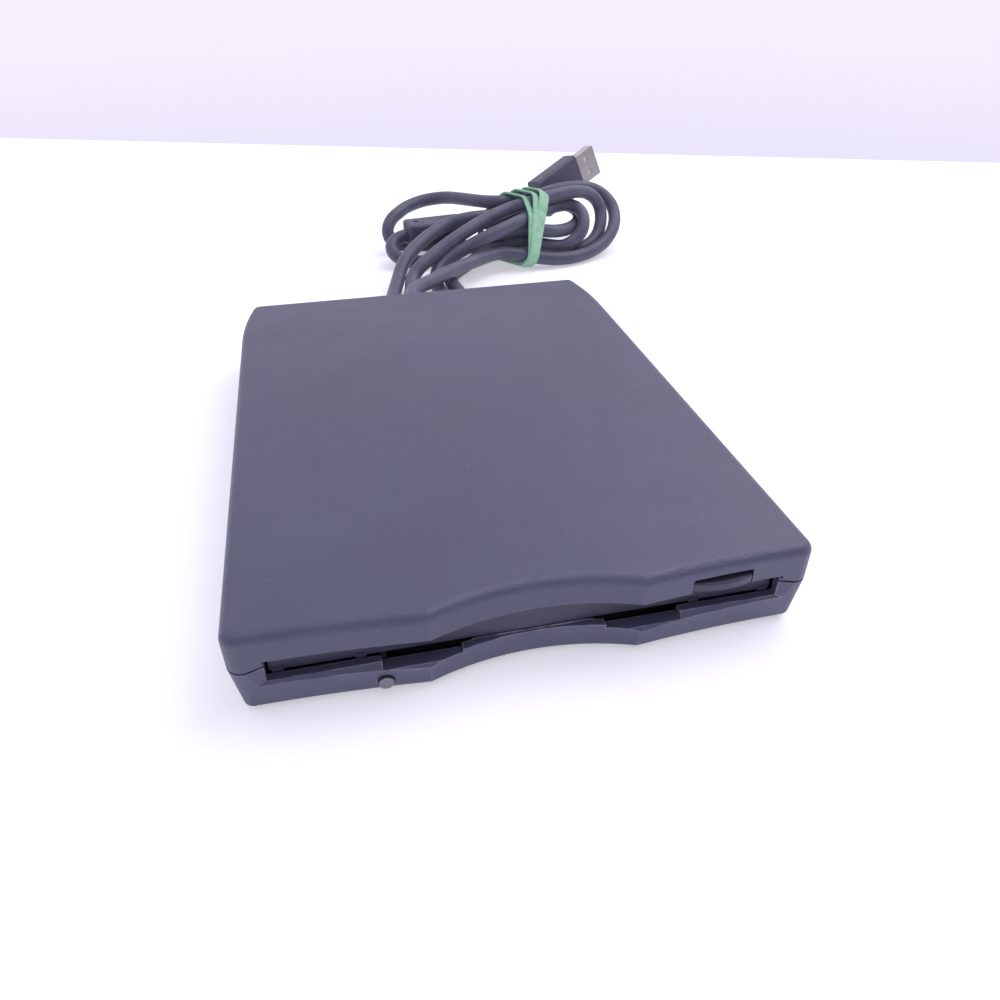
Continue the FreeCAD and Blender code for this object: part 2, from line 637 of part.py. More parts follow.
def lower_case():
    """Lower tub with front lip, bosses, screw holes, foot recesses and light hole."""
    tub = lower_shell().fuse([front_lip(), light_pipe_socket()] + floor_bosses())
    tub = tub.cut([funnel_cutter(), slot_cutter(), door_pocket(SLOT_BOTTOM - 0.1, SEAM_HIGH)])
    tub = tub.cut(notch_cutters() + screw_holes() + foot_recesses() + [light_hole()] + gland_seat())
    return tub.removeSplitter()


def rubber_feet():
    """Four round self-adhesive feet."""
    feet = []
    for x, y in FOOT_PLACES:
        foot = rod(x, y, 0, FOOT_R, FOOT_PROUD + FOOT_RECESS)
        feet.append(foot.makeFillet(0.3, edges_at(foot, 0)))
    return Part.makeCompound(feet)


def screw(x, y, shank_top):
    """Pan-head screw seen from below, with a cross recess."""
    head = rod(x, y, CASE_BASE, SCREW_HEAD_R, SCREW_HEAD_HEIGHT)
    shank = rod(x, y, CASE_BASE, SCREW_SHANK_R - 0.12, shank_top - CASE_BASE)
    cross = [box(x - 1.2, y - 0.25, CASE_BASE - 0.1, x + 1.2, y + 0.25, CASE_BASE + 0.6),
             box(x - 0.25, y - 1.2, CASE_BASE - 0.1, x + 0.25, y + 1.2, CASE_BASE + 0.6)]
    return head.fuse(shank).cut(cross)


def case_screws():
    """Two long screws that hold the shells together at the rear."""
    return Part.makeCompound([screw(x, y, CASE_FLOOR + 7) for x, y in CASE_SCREW_PLACES])


def drive_screws():
    """Four screws that hold the chassis to the lower shell."""
    return Part.makeCompound([screw(x, y, CHASSIS_TOP) for x, y in DRIVE_SCREW_PLACES])


# ================================================================ front pieces
def slot_door():
    """Dust door: thin plate under a hinge barrel, with pins, guide tabs and a notch for the button."""
    back = DOOR_FRONT_Y + DOOR_THICKNESS
    leaf = box(-DOOR_HALF, DOOR_FRONT_Y, DOOR_BOTTOM, DOOR_HALF, back, DOOR_HINGE_Z - 0.2)
    barrel = rod(-DOOR_HALF, DOOR_HINGE_Y, DOOR_HINGE_Z, DOOR_BARREL_R, 2 * DOOR_HALF, X_AXIS)
    pins = rod(-DOOR_HALF - DOOR_PIN_LENGTH, DOOR_HINGE_Y, DOOR_HINGE_Z, DOOR_PIN_R,
               2 * (DOOR_HALF + DOOR_PIN_LENGTH), X_AXIS)
    tabs = []
    for x in DOOR_TAB_X:
        tab = box(x - DOOR_TAB_WIDTH / 2, DOOR_FRONT_Y - DOOR_TAB_PROUD, DOOR_BOTTOM - DOOR_TAB_DROP,
                  x + DOOR_TAB_WIDTH / 2, back, DOOR_BOTTOM + 0.6)
        tabs += both_sides(tab)
    half = BUTTON_WIDTH / 2 + 2 * BUTTON_GAP
    notch = box(BUTTON_X - half, DOOR_FRONT_Y - 1, DOOR_HINGE_Z - 0.3, BUTTON_X + half, back + 1,
                DOOR_HINGE_Z + 2)
    coil_gap = box(DOOR_SPRING_X - 0.6, DOOR_FRONT_Y - 1, DOOR_HINGE_Z - DOOR_COIL_R - 0.45,
                   DOOR_SPRING_X + DOOR_SPRING_LENGTH + 0.6, back + 1, DOOR_HINGE_Z)
    leaf = leaf.cut(coil_gap)
    return leaf.fuse([barrel, pins] + tabs).cut(notch).removeSplitter()


def spring_coil(x, y, z, radius, wire, pitch, turns, direction):
    """Round-wire helical spring that starts at a point and runs along a direction."""
    helix = Part.makeHelix(pitch, pitch * turns, radius)
    start = circle_wire(wire, V(radius, 0, 0), Y_AXIS)
    coil = Part.Wire(helix.Edges).makePipeShell([start], True, True)
    turn = FreeCAD.Rotation(Z_AXIS, direction)
    coil.Placement = FreeCAD.Placement(V(x, y, z), turn)
    return coil


def door_spring():
    """Torsion spring round the door's hinge barrel."""
    turns = 4
    return spring_coil(DOOR_SPRING_X, DOOR_HINGE_Y, DOOR_HINGE_Z, DOOR_COIL_R - DOOR_WIRE_R, DOOR_WIRE_R,
                       DOOR_SPRING_LENGTH / turns, turns, X_AXIS)


def door_spring_recess():
    """Local relief in the front wall above the slot for the door spring."""
    return box(DOOR_SPRING_X - 0.6, DOOR_HINGE_Y - DOOR_COIL_R - 0.3, SLOT_TOP - 0.5,
               DOOR_SPRING_X + DOOR_SPRING_LENGTH + 0.6, POCKET_Y + 1, DOOR_HINGE_Z + DOOR_COIL_R + 0.3)


def eject_button():
    """Button with a bowed, rounded front and a slot in its back for the slider's tab."""
    left, right = BUTTON_X - BUTTON_WIDTH / 2, BUTTON_X + BUTTON_WIDTH / 2
    edge_y = front_y(BUTTON_X) + 0.1
    back = edge_y + BUTTON_DEPTH
    bottom = SLOT_TOP + 0.2
    arc = Part.Arc(V(left, edge_y, bottom), V(BUTTON_X, edge_y - BUTTON_BULGE, bottom),
                   V(right, edge_y, bottom))
    ends = [V(right, edge_y, bottom), V(right, back, bottom), V(left, back, bottom), V(left, edge_y, bottom)]
    sides = [Part.LineSegment(a, b).toShape() for a, b in zip(ends, ends[1:])]
    body = Part.Face(Part.Wire([arc.toShape()] + sides)).extrude(V(0, 0, BUTTON_TOP - bottom))
    front_top = [e for e in edges_at(body, BUTTON_TOP) if e.BoundBox.YMin < edge_y - 0.1]
    body = body.makeFillet(0.5, front_top)
    tab_slot = box(BUTTON_X - TAB_WIDTH / 2, back - TAB_BITE, SLIDER_Z,
                   BUTTON_X + TAB_WIDTH / 2, back + 1, SLIDER_Z + SLIDER_SHEET)
    return body.cut(tab_slot)


def led_light_pipe():
    """Clear round lens in the front wall, with a flange that seats behind the wall."""
    face = front_y(LED_X) + 0.3
    seat = front_y(LED_X) + WALL + LOWER_DRAFT
    lens = rod(LED_X, face, LED_Z, LED_R, seat - face, Y_AXIS)
    lens = lens.makeFillet(0.4, [e for e in lens.Edges if abs(e.BoundBox.YMax - face) < 1e-4])
    half = LED_R + LIGHT_PIPE_FLANGE
    flange = box(LED_X - half, seat, CASE_FLOOR, LED_X + half, seat + 1.0, LED_Z + half)
    return lens.fuse(flange).removeSplitter()


# ================================================================ chassis
def carriage_window():
    """Opening in the chassis floor under the head carriage."""
    sled = box(-SLED_WIDTH / 2 - 1, RAIL_FRONT + RAIL_BLOCK_DEPTH, 0, SLED_WIDTH / 2 + 1, RAIL_REAR - 2, 5)
    tongue = box(-TONGUE_WIDTH / 2 - 1, HEAD_Y - HEAD_TRAVEL - HEAD_SIZE, 0, TONGUE_WIDTH / 2 + 1,
                 RAIL_REAR - 2, 5)
    return sled.fuse(tongue)


def guide_slots(z_low, z_high, x0, x1):
    """Upright slots in the chassis walls that keep the carrier's pins moving straight down."""
    radius = GUIDE_PIN_R + SLOT_CLEARANCE
    return [slot_yz(y, z_low, y, z_high, radius, x0, x1) for y in GUIDE_PIN_YS]


def rail_blocks():
    """Blocks on the chassis that hold the ends of the two guide rails."""
    blocks = []
    for y in (RAIL_FRONT, RAIL_REAR - RAIL_BLOCK_DEPTH):
        block = box(RAIL_X - 2.0, y, CHASSIS_BASE_Z, RAIL_X + 2.0, y + RAIL_BLOCK_DEPTH, RAIL_Z + 1.15)
        blocks += both_sides(block)
    return blocks


def spring_anchor():
    """Small upright ear that holds the front end of a slider spring."""
    ear = box(SPRING_X - 0.9, SPRING_FRONT_Y - SHEET, CHASSIS_TOP - 0.1, SPRING_X + 0.9, SPRING_FRONT_Y, 5.7)
    return ear


def board_tabs():
    """Stand-offs for the control board on the left of the chassis."""
    x0, y0, x1, y1 = CONTROL_BOARD
    return [rod(x, y, CHASSIS_TOP - 0.1, 1.3, CONTROL_BOARD_Z - CHASSIS_TOP + 0.1)
            for x in (x0 + 3, x1 - 3) for y in (y0 + 3, y1 - 3)]


def drive_chassis():
    """Pressed chassis: floor, side walls with guide slots, rear wall, blocks and ears."""
    floor = box(-CHASSIS_HALF, CHASSIS_FRONT, CHASSIS_BASE_Z, CHASSIS_HALF, CHASSIS_REAR, CHASSIS_TOP)
    wall = box(CHASSIS_HALF - SHEET, CHASSIS_WALL_FRONT, CHASSIS_BASE_Z, CHASSIS_HALF, CHASSIS_REAR,
               CHASSIS_WALL_TOP)
    rear = box(-CHASSIS_HALF, CHASSIS_REAR - SHEET, CHASSIS_BASE_Z, CHASSIS_HALF, CHASSIS_REAR,
               CHASSIS_WALL_TOP)
    frame = floor.fuse(both_sides(wall) + [rear])
    pin_low, pin_high = GUIDE_PIN_Z - CARRIER_DROP, GUIDE_PIN_Z
    for slot in guide_slots(pin_low, pin_high, CHASSIS_HALF - SHEET - 1, CHASSIS_HALF + 1):
        frame = frame.cut(both_sides(slot))
    cable_gap = box(USB_BOARD[0] + 2, CHASSIS_REAR - 2, USB_BOARD_Z - 0.4, USB_BOARD[0] + 20,
                    CHASSIS_REAR + 1, 8)
    frame = frame.cut([carriage_window(), cable_gap])
    frame = frame.fuse(rail_blocks() + both_sides(spring_anchor()) + board_tabs())
    holes = [rod(x, y, CHASSIS_BASE_Z - 1, SCREW_SHANK_R - 0.12, 3) for x, y in DRIVE_SCREW_PLACES]
    sensor_step = box(LED_X - 3, CHASSIS_FRONT - 1, CHASSIS_BASE_Z - 1, LED_X + 3, CHASSIS_FRONT + 3,
                      CHASSIS_TOP + 1)
    rails = both_sides(rod(RAIL_X, RAIL_FRONT, RAIL_Z, RAIL_R, RAIL_REAR - RAIL_FRONT, Y_AXIS))
    return frame.cut(holes + rails + [sensor_step]).removeSplitter()


def drive_cover():
    """Thin steel cover over the mechanism, folded over the chassis walls, with a window over the heads."""
    half = CHASSIS_HALF + COVER_SHEET + 0.05
    top = box(-half, CHASSIS_WALL_FRONT, COVER_Z, half, CHASSIS_REAR, COVER_Z + COVER_SHEET)
    skirt = box(CHASSIS_HALF + 0.05, CHASSIS_WALL_FRONT + 6, CHASSIS_WALL_TOP - 3.2, half, CHASSIS_REAR - 6,
                COVER_Z + COVER_SHEET)
    clear = [box(CHASSIS_HALF - 1, y - 2, 0, half + 1, y + 2, CHASSIS_WALL_TOP) for y in GUIDE_PIN_YS]
    skirt = skirt.cut(clear)
    heads = rounded_box(-ARM_WIDTH / 2 - 2, HEAD_Y - HEAD_TRAVEL - 8, COVER_Z - 1, ARM_WIDTH / 2 + 2,
                        ARM_PIVOT_Y + 5, COVER_Z + 1, 2)
    hub = rod(0, SPINDLE_Y, COVER_Z - 1, 13, 3)
    ribs = [box(x - 0.6, CHASSIS_WALL_FRONT + 8, COVER_Z + COVER_SHEET - 0.01, x + 0.6, -38,
                COVER_Z + COVER_SHEET + 0.3)
            for x in (-30, -15, 0, 15, 30)]
    return top.fuse(both_sides(skirt) + ribs).cut([heads, hub]).removeSplitter()


# ================================================================ slider and carrier
def slider_slot(y):
    """Slanted slot that drives one carrier pin: the slider moves forward, the pin goes down."""
    radius = GUIDE_PIN_R + SLOT_CLEARANCE
    return slot_yz(y, GUIDE_PIN_Z, y + SLIDER_TRAVEL, GUIDE_PIN_Z - CARRIER_DROP, radius,
                   SLIDER_HALF - SLIDER_SHEET - 1, SLIDER_HALF + 1)


def slider_plate():
    """Sheet-steel slider: top plate, slotted side walls, spring hooks and the button's tab."""
    top = box(-SLIDER_HALF, SLIDER_FRONT, SLIDER_Z, SLIDER_HALF, SLIDER_REAR, SLIDER_Z + SLIDER_SHEET)
    side = box(SLIDER_HALF - SLIDER_SHEET, SLIDER_FRONT, SLIDER_WALL_BOTTOM, SLIDER_HALF, SLIDER_REAR,
               SLIDER_Z + SLIDER_SHEET)
    side = side.cut([slider_slot(y) for y in GUIDE_PIN_YS])
    leg = box(SLIDER_HALF - SLIDER_SHEET, HOOK_Y, HOOK_Z, SLIDER_HALF, HOOK_Y + HOOK_WIDTH,
              SLIDER_WALL_BOTTOM + 0.1)
    foot = box(SPRING_X - 1.2, HOOK_Y, HOOK_Z, SLIDER_HALF, HOOK_Y + HOOK_WIDTH, HOOK_Z + SLIDER_SHEET)
    wire = rod(SPRING_X, HOOK_Y - SLIDER_TRAVEL - 2 * SPRING_R, SPRING_Z, SPRING_WIRE_R,
               SLIDER_TRAVEL + 2 * SPRING_R + 0.5, Y_AXIS)
    foot = foot.fuse(box(SPRING_X - 0.6, HOOK_Y, HOOK_Z, SPRING_X + 0.6, HOOK_Y + SLIDER_SHEET,
                         SPRING_Z + 0.5))
    foot = foot.fuse(wire)
    button_back = front_y(BUTTON_X) + 0.1 + BUTTON_DEPTH
    tab = box(BUTTON_X - TAB_WIDTH / 2, button_back - TAB_BITE, SLIDER_Z, BUTTON_X + TAB_WIDTH / 2,
              SLIDER_FRONT + 1, SLIDER_Z + SLIDER_SHEET)
    body = top.fuse(both_sides(side) + both_sides(leg) + both_sides(foot) + [tab])
    rear_cut = box(LEVER_PIVOT[0] - 7, -8, SLIDER_Z - 1, ARM_WIDTH / 2 + 3, SLIDER_REAR + 1, SLIDER_Z + 2)
    front_cut = rounded_box(-SLIDER_HALF + 13, SLIDER_FRONT + 8.5, SLIDER_Z - 1, SLIDER_HALF - 25,
                            SLIDER_FRONT + 26.5, SLIDER_Z + 2, 4)
    side_cut = rounded_box(SLIDER_HALF - 29, -12, SLIDER_Z - 1, SLIDER_HALF - 9, SLIDER_REAR - 12,
                           SLIDER_Z + 2, 4)
    return body.cut([rear_cut, front_cut, side_cut]).removeSplitter()


def slider_springs():
    """Two tension springs that pull the slider forward."""
    start = SPRING_FRONT_Y + 2 * SPRING_WIRE_R
    length = HOOK_Y - SLIDER_TRAVEL - SPRING_R - start
    springs = [spring_coil(x, start, SPRING_Z, SPRING_R, SPRING_WIRE_R, length / SPRING_TURNS, SPRING_TURNS,
                           Y_AXIS)
               for x in (-SPRING_X, SPRING_X)]
    return Part.makeCompound(springs)


def lever_slot():
    """Arc slot in the carrier's plate for the lever's pin."""
    radius = LEVER_PIN_R + RUN_GAP
    centre = V(LEVER_PIVOT[0], LEVER_PIVOT[1], CARRIER_PLATE_Z - 1)
    sector = Part.makeCylinder(LEVER_REACH + radius, 3, centre, Z_AXIS, LEVER_SWING_DEG)
    core = Part.makeCylinder(LEVER_REACH - radius, 3, centre, Z_AXIS)
    sector = sector.cut(core)
    sector.rotate(centre, Z_AXIS, LEVER_REST_DEG)
    ends = []
    for degrees in (LEVER_REST_DEG, LEVER_REST_DEG + LEVER_SWING_DEG):
        angle = math.radians(degrees)
        ends.append(rod(centre.x + LEVER_REACH * math.cos(angle), centre.y + LEVER_REACH * math.sin(angle),
                        centre.z, radius, 3))
    return sector.fuse(ends)


def disk_carrier():
    """Carrier that the disk slides into: top plate, side walls, bottom rails and rear stops."""
    top = box(-CARRIER_HALF, CARRIER_FRONT, CARRIER_PLATE_Z, CARRIER_HALF, CARRIER_REAR,
              CARRIER_PLATE_Z + CARRIER_SHEET)
    side = box(CARRIER_HALF - CARRIER_SHEET, CARRIER_FRONT, CARRIER_RAIL_Z, CARRIER_HALF, CARRIER_REAR,
               CARRIER_PLATE_Z + CARRIER_SHEET)
    rail = box(CARRIER_HALF - CARRIER_SHEET - CARRIER_RAIL_WIDTH, CARRIER_FRONT + 1, CARRIER_RAIL_Z,
               CARRIER_HALF, CARRIER_REAR - 2, CARRIER_RAIL_Z + CARRIER_SHEET)
    stop = box(31, DISK_LEAD_Y + 0.5, CARRIER_RAIL_Z + CARRIER_SHEET, 39, DISK_LEAD_Y + 0.5 + CARRIER_SHEET,
               CARRIER_PLATE_Z + 0.1)
    stud = rod(LEVER_PIVOT[0], LEVER_PIVOT[1], CARRIER_PLATE_Z + 0.1, LEVER_STUD_R,
               LEVER_Z + LEVER_SHEET + 0.4 - CARRIER_PLATE_Z)
    body = top.fuse(both_sides(side) + both_sides(rail) + both_sides(stop) + [stud])
    heads = box(-ARM_WIDTH / 2 - 1.2, HEAD_Y - HEAD_TRAVEL - HEAD_SIZE / 2 - 2, CARRIER_PLATE_Z - 1,
                ARM_WIDTH / 2 + 1.2, CARRIER_REAR + 1, CARRIER_PLATE_Z + 2)
    hub = rod(0, SPINDLE_Y, CARRIER_PLATE_Z - 1, 13, 3)
    right = rounded_box(CARRIER_HALF - 32, 2, CARRIER_PLATE_Z - 1, CARRIER_HALF - 8, CARRIER_REAR - 9.5,
                        CARRIER_PLATE_Z + 2, 3)
    drive_notch = box(-POST_WIDTH / 2 - 0.6, DISK_LEAD_Y + 0.4, CARRIER_PLATE_Z - 1, SCREW_X + MOTOR_R + 4.5,
                      CARRIER_REAR + 1, CARRIER_PLATE_Z + 2)
    return body.cut([heads, hub, lever_slot(), right, drive_notch]).removeSplitter()


def carrier_pins():
    """Four riveted pins on the carrier's sides that run in the slider and chassis slots."""
    length = CHASSIS_HALF - CARRIER_HALF
    pins = [rod(CARRIER_HALF, y, GUIDE_PIN_Z, GUIDE_PIN_R, length, X_AXIS) for y in GUIDE_PIN_YS]
    return Part.makeCompound(pins + [mirrored(p) for p in pins])


def lever_point(reach, degrees):
    """Point at a reach and angle from the lever's pivot."""
    angle = math.radians(degrees)
    return LEVER_PIVOT[0] + reach * math.cos(angle), LEVER_PIVOT[1] + reach * math.sin(angle)


def shutter_lever():
    """Lever that opens the disk's shutter and pushes the disk out: arm, hub and hanging pin."""
    half = LEVER_WIDTH / 2
    arm = rounded_box(-half - 0.6, -half, LEVER_Z, LEVER_REACH + half, half, LEVER_Z + LEVER_SHEET,
                      half * 0.95)
    arm.rotate(V(0, 0, 0), Z_AXIS, LEVER_REST_DEG)
    arm.translate(V(LEVER_PIVOT[0], LEVER_PIVOT[1], 0))
    hole = rod(LEVER_PIVOT[0], LEVER_PIVOT[1], LEVER_Z - 1, LEVER_STUD_R + RUNNING_FIT, 3)
    x, y = lever_point(LEVER_REACH, LEVER_REST_DEG)
    pin = rod(x, y, LEVER_Z + LEVER_SHEET - LEVER_PIN_DROP, LEVER_PIN_R, LEVER_PIN_DROP)
    return arm.fuse(pin).cut(hole).removeSplitter()


def lever_spring():
    """Torsion spring on the lever's stud that swings the lever forward."""
    return spring_coil(LEVER_PIVOT[0], LEVER_PIVOT[1], LEVER_Z + LEVER_SHEET + 0.3, LEVER_STUD_R + 0.35,
                       LEVER_WIRE_R, 0.5, 1.2, Z_AXIS)


# ================================================================ spindle
def motor_board():
    """Steel-backed board under the spindle motor."""
    board = rounded_box(-24, SPINDLE_Y - 23, CHASSIS_TOP, 24, SPINDLE_Y + ROTOR_R, CHASSIS_TOP + BOARD_SHEET,
                        3)
    return board.cut(rod(0, SPINDLE_Y, CHASSIS_TOP - 1, BUSH_R + 0.1, 3))


def stator_coils():
    """Ring of flat wound coils on the motor board."""
    coils = []
    z = CHASSIS_TOP + BOARD_SHEET
    for index in range(COIL_COUNT):
        outer = rounded_box(COIL_RING_R - 3.6, -3.2, z, COIL_RING_R + 3.6, 3.2, z + COIL_HEIGHT, 1.6)
        inner = rounded_box(COIL_RING_R - 2.0, -1.4, z - 1, COIL_RING_R + 2.0, 1.4, z + 2, 0.6)
        coil = outer.cut(inner)
        coil.rotate(V(0, 0, 0), Z_AXIS, index * 360 / COIL_COUNT)
        coil.translate(V(0, SPINDLE_Y, 0))
        coils.append(coil)
    return Part.makeCompound(coils)


def spindle_bush():
    """Sintered bush in the middle of the motor board."""
    bush = rod(0, SPINDLE_Y, CHASSIS_TOP, BUSH_R, BUSH_HEIGHT)
    return bush.cut(rod(0, SPINDLE_Y, CHASSIS_TOP - 1, SHAFT_R + RUNNING_FIT, BUSH_HEIGHT + 2))


def spindle_shaft():
    """Hardened shaft with a rounded tip that centres the disk's hub."""
    shaft = rod(0, SPINDLE_Y, CHASSIS_TOP + 0.1, SHAFT_R, SHAFT_TOP - CHASSIS_TOP - 0.1)
    return shaft.makeFillet(0.4, edges_at(shaft, SHAFT_TOP))


def spindle_rotor():
    """Rotor cup with its magnet skirt and lightening holes."""
    disc = rod(0, SPINDLE_Y, ROTOR_SKIRT_Z, ROTOR_R, ROTOR_PLATE_Z + ROTOR_SHEET - ROTOR_SKIRT_Z)
    hollow = rod(0, SPINDLE_Y, ROTOR_SKIRT_Z - 1, ROTOR_R - 1.2, ROTOR_PLATE_Z - ROTOR_SKIRT_Z + 1)
    cuts = [hollow, rod(0, SPINDLE_Y, ROTOR_SKIRT_Z - 1, SHAFT_R, 5)]
    for index in range(6):
        hole = rod(15, 0, ROTOR_PLATE_Z - 1, 1.3, 3)
        hole.rotate(V(0, 0, 0), Z_AXIS, 30 + 60 * index)
        hole.translate(V(0, SPINDLE_Y, 0))
        cuts.append(hole)
    return disc.cut(cuts)


def spindle_hub():
    """Hub table that the disk's steel hub sits on, with a shallow magnet ring groove."""
    z = ROTOR_PLATE_Z + ROTOR_SHEET
    hub = rod(0, SPINDLE_Y, z, HUB_R, HUB_HEIGHT)
    hub = hub.makeFillet(0.2, edges_at(hub, z + HUB_HEIGHT))
    groove = rod(0, SPINDLE_Y, z + HUB_HEIGHT - 0.15, 7.5, 1).cut(rod(0, SPINDLE_Y, z, 4.5, 2))
    bore = rod(0, SPINDLE_Y, z - 1, SHAFT_R, 4)
    socket = rod(DRIVE_PIN_OFFSET, SPINDLE_Y, z - 1, DRIVE_PIN_R, 4)
    return hub.cut([groove, bore, socket])


def drive_pin():
    """Off-centre pin that takes the disk's hub round."""
    z = ROTOR_PLATE_Z + ROTOR_SHEET
    pin = rod(DRIVE_PIN_OFFSET, SPINDLE_Y, z, DRIVE_PIN_R, HUB_HEIGHT + DRIVE_PIN_HEIGHT)
    return pin.makeFillet(0.3, edges_at(pin, z + HUB_HEIGHT + DRIVE_PIN_HEIGHT))


# ================================================================ heads and stepper
def guide_rails():
    """Two ground rails that the head carriage slides on."""
    rail = rod(RAIL_X, RAIL_FRONT, RAIL_Z, RAIL_R, RAIL_REAR - RAIL_FRONT, Y_AXIS)
    return Part.makeCompound(both_sides(rail))


def head_carriage():
    """Moulded carriage: bearing sled, tongue under the disk, post with hinge ears and follower arm."""
    sled = box(-SLED_WIDTH / 2, SLED_FRONT, CARRIAGE_BOTTOM, SLED_WIDTH / 2, POST_FRONT + 2, CARRIAGE_TOP)
    tongue = box(-TONGUE_WIDTH / 2, HEAD_Y - HEAD_SIZE / 2 - 1, CARRIAGE_BOTTOM, TONGUE_WIDTH / 2,
                 SLED_FRONT + 1, CARRIAGE_TOP - 0.2)
    post = box(-POST_WIDTH / 2, POST_FRONT, CARRIAGE_BOTTOM, POST_WIDTH / 2, POST_FRONT + POST_DEPTH,
               ARM_PIVOT_Z - 2.2)
    ear = box(ARM_WIDTH / 2 + 0.3, ARM_PIVOT_Y - 1.6, ARM_PIVOT_Z - 2.3, POST_WIDTH / 2, ARM_PIVOT_Y + 1.6,
              ARM_PIVOT_Z + 1.5)
    tail = box(-SLED_WIDTH / 2, POST_FRONT, CARRIAGE_BOTTOM, SLED_WIDTH / 2, POST_FRONT + 3, CARRIAGE_TOP)
    reach = box(POST_WIDTH / 2 - 2, FOLLOWER_Y - FOLLOWER_ARM / 2, CARRIAGE_TOP - 1,
                SCREW_X - SCREW_R - RUN_GAP, FOLLOWER_Y + FOLLOWER_ARM / 2, SCREW_Z + 0.9)
    body = sled.fuse([tongue, post, tail, reach] + both_sides(ear))
    bores = both_sides(rod(RAIL_X, 0, RAIL_Z, RAIL_R + RUNNING_FIT, RAIL_REAR + 10, Y_AXIS))
    pivot = rod(-POST_WIDTH, ARM_PIVOT_Y, ARM_PIVOT_Z, ARM_PIVOT_R, 2 * POST_WIDTH, X_AXIS)
    pin_hole = rod(POST_WIDTH / 2 + 1.5, FOLLOWER_Y, SCREW_Z, FOLLOWER_R, SCREW_X - POST_WIDTH / 2, X_AXIS)
    return body.cut(bores + [pivot, pin_hole]).removeSplitter()


def follower_pin():
    """Needle in the carriage's arm whose tip runs in the lead screw's groove."""
    tip = SCREW_X - SCREW_R + GROOVE_R / 2
    start = POST_WIDTH / 2 + 1.5
    needle = rod(start, FOLLOWER_Y, SCREW_Z, FOLLOWER_R, tip - FOLLOWER_R - start, X_AXIS)
    ball = Part.makeSphere(FOLLOWER_R, V(tip - FOLLOWER_R, FOLLOWER_Y, SCREW_Z))
    return needle.fuse(ball).removeSplitter()


def lead_screw():
    """Screw shaft with one helical groove and thin journals at both ends."""
    front = SCREW_FRONT + BRACKET_SHEET + 0.3
    length = MOTOR_FRONT - 0.3 - front
    shaft = rod(0, 0, 0, SCREW_R, length)
    start = (FOLLOWER_Y - front) % SCREW_LEAD - SCREW_LEAD
    turns = (length + GROOVE_R - start) / SCREW_LEAD
    helix = Part.makeHelix(SCREW_LEAD, SCREW_LEAD * turns, SCREW_R)
    profile = circle_wire(GROOVE_R, V(SCREW_R, 0, 0), Y_AXIS)
    groove = Part.Wire(helix.Edges).makePipeShell([profile], True, True)
    groove.translate(V(0, 0, start))
    screw_body = shaft.cut(groove)
    journal = rod(0, 0, -BRACKET_SHEET - 0.3, SCREW_JOURNAL_R, length + BRACKET_SHEET + 0.3 + 8.3)
    body = screw_body.fuse(journal)
    body.rotate(V(0, 0, 0), X_AXIS, -90)
    body.rotate(V(0, 0, 0), Y_AXIS, 180)
    body.translate(V(SCREW_X, front, SCREW_Z))
    return body


def stepper_motor():
    """Stepper motor can with its front flange and a bore for the screw's journal."""
    can = rod(SCREW_X, MOTOR_FRONT, SCREW_Z, MOTOR_R, MOTOR_LENGTH, Y_AXIS)
    band = rod(SCREW_X, MOTOR_FRONT + MOTOR_LENGTH / 2 - 0.3, SCREW_Z, MOTOR_R + 0.1, 0.6, Y_AXIS)
    bore = rod(SCREW_X, MOTOR_FRONT - 1, SCREW_Z, SCREW_JOURNAL_R + RUNNING_FIT, 10, Y_AXIS)
    return can.fuse(band).cut(bore)


def stepper_bracket():
    """Bent bracket that holds the motor and the front end of the screw."""
    half = 5.0
    low = CHASSIS_TOP
    x0, x1 = SCREW_X - half, SCREW_X + MOTOR_R + 6
    foot = box(SCREW_X + MOTOR_R + 0.6, SCREW_FRONT, low, x1, MOTOR_FRONT + 4, low + BRACKET_SHEET)
    spine = box(SCREW_X + MOTOR_R + 0.6, SCREW_FRONT, low, SCREW_X + MOTOR_R + 0.6 + BRACKET_SHEET,
                MOTOR_FRONT + 4, SCREW_Z + 2)
    front = box(SCREW_X - 2.4, SCREW_FRONT, CARRIAGE_TOP + 0.4, SCREW_X + MOTOR_R + 1,
                SCREW_FRONT + BRACKET_SHEET, SCREW_Z + 2)
    rear = box(x0 + 1.2, MOTOR_FRONT - BRACKET_SHEET, CARRIAGE_TOP + 0.4, SCREW_X + MOTOR_R + 1, MOTOR_FRONT,
               SCREW_Z + 4)
    hole = rod(SCREW_X, SCREW_FRONT - 1, SCREW_Z, SCREW_JOURNAL_R + RUNNING_FIT, 4, Y_AXIS)
    big = rod(SCREW_X, MOTOR_FRONT - 2, SCREW_Z, SCREW_R + 0.4, 4, Y_AXIS)
    return foot.fuse([spine, front, rear]).cut([hole, big]).removeSplitter()


def lower_head():
    """Ceramic lower head on the carriage's tongue."""
    half = HEAD_SIZE / 2
    head = box(-half, HEAD_Y - half, CARRIAGE_TOP - 0.2, half, HEAD_Y + half, LOWER_HEAD_TOP)
    return head.makeFillet(0.4, edges_at(head, LOWER_HEAD_TOP))


def opened(shape):
    """Turn an arm piece from its closed pose to the open one."""
    shape = shape.copy()
    shape.rotate(V(0, ARM_PIVOT_Y, ARM_PIVOT_Z), X_AXIS, -ARM_OPEN_DEG)
    return shape


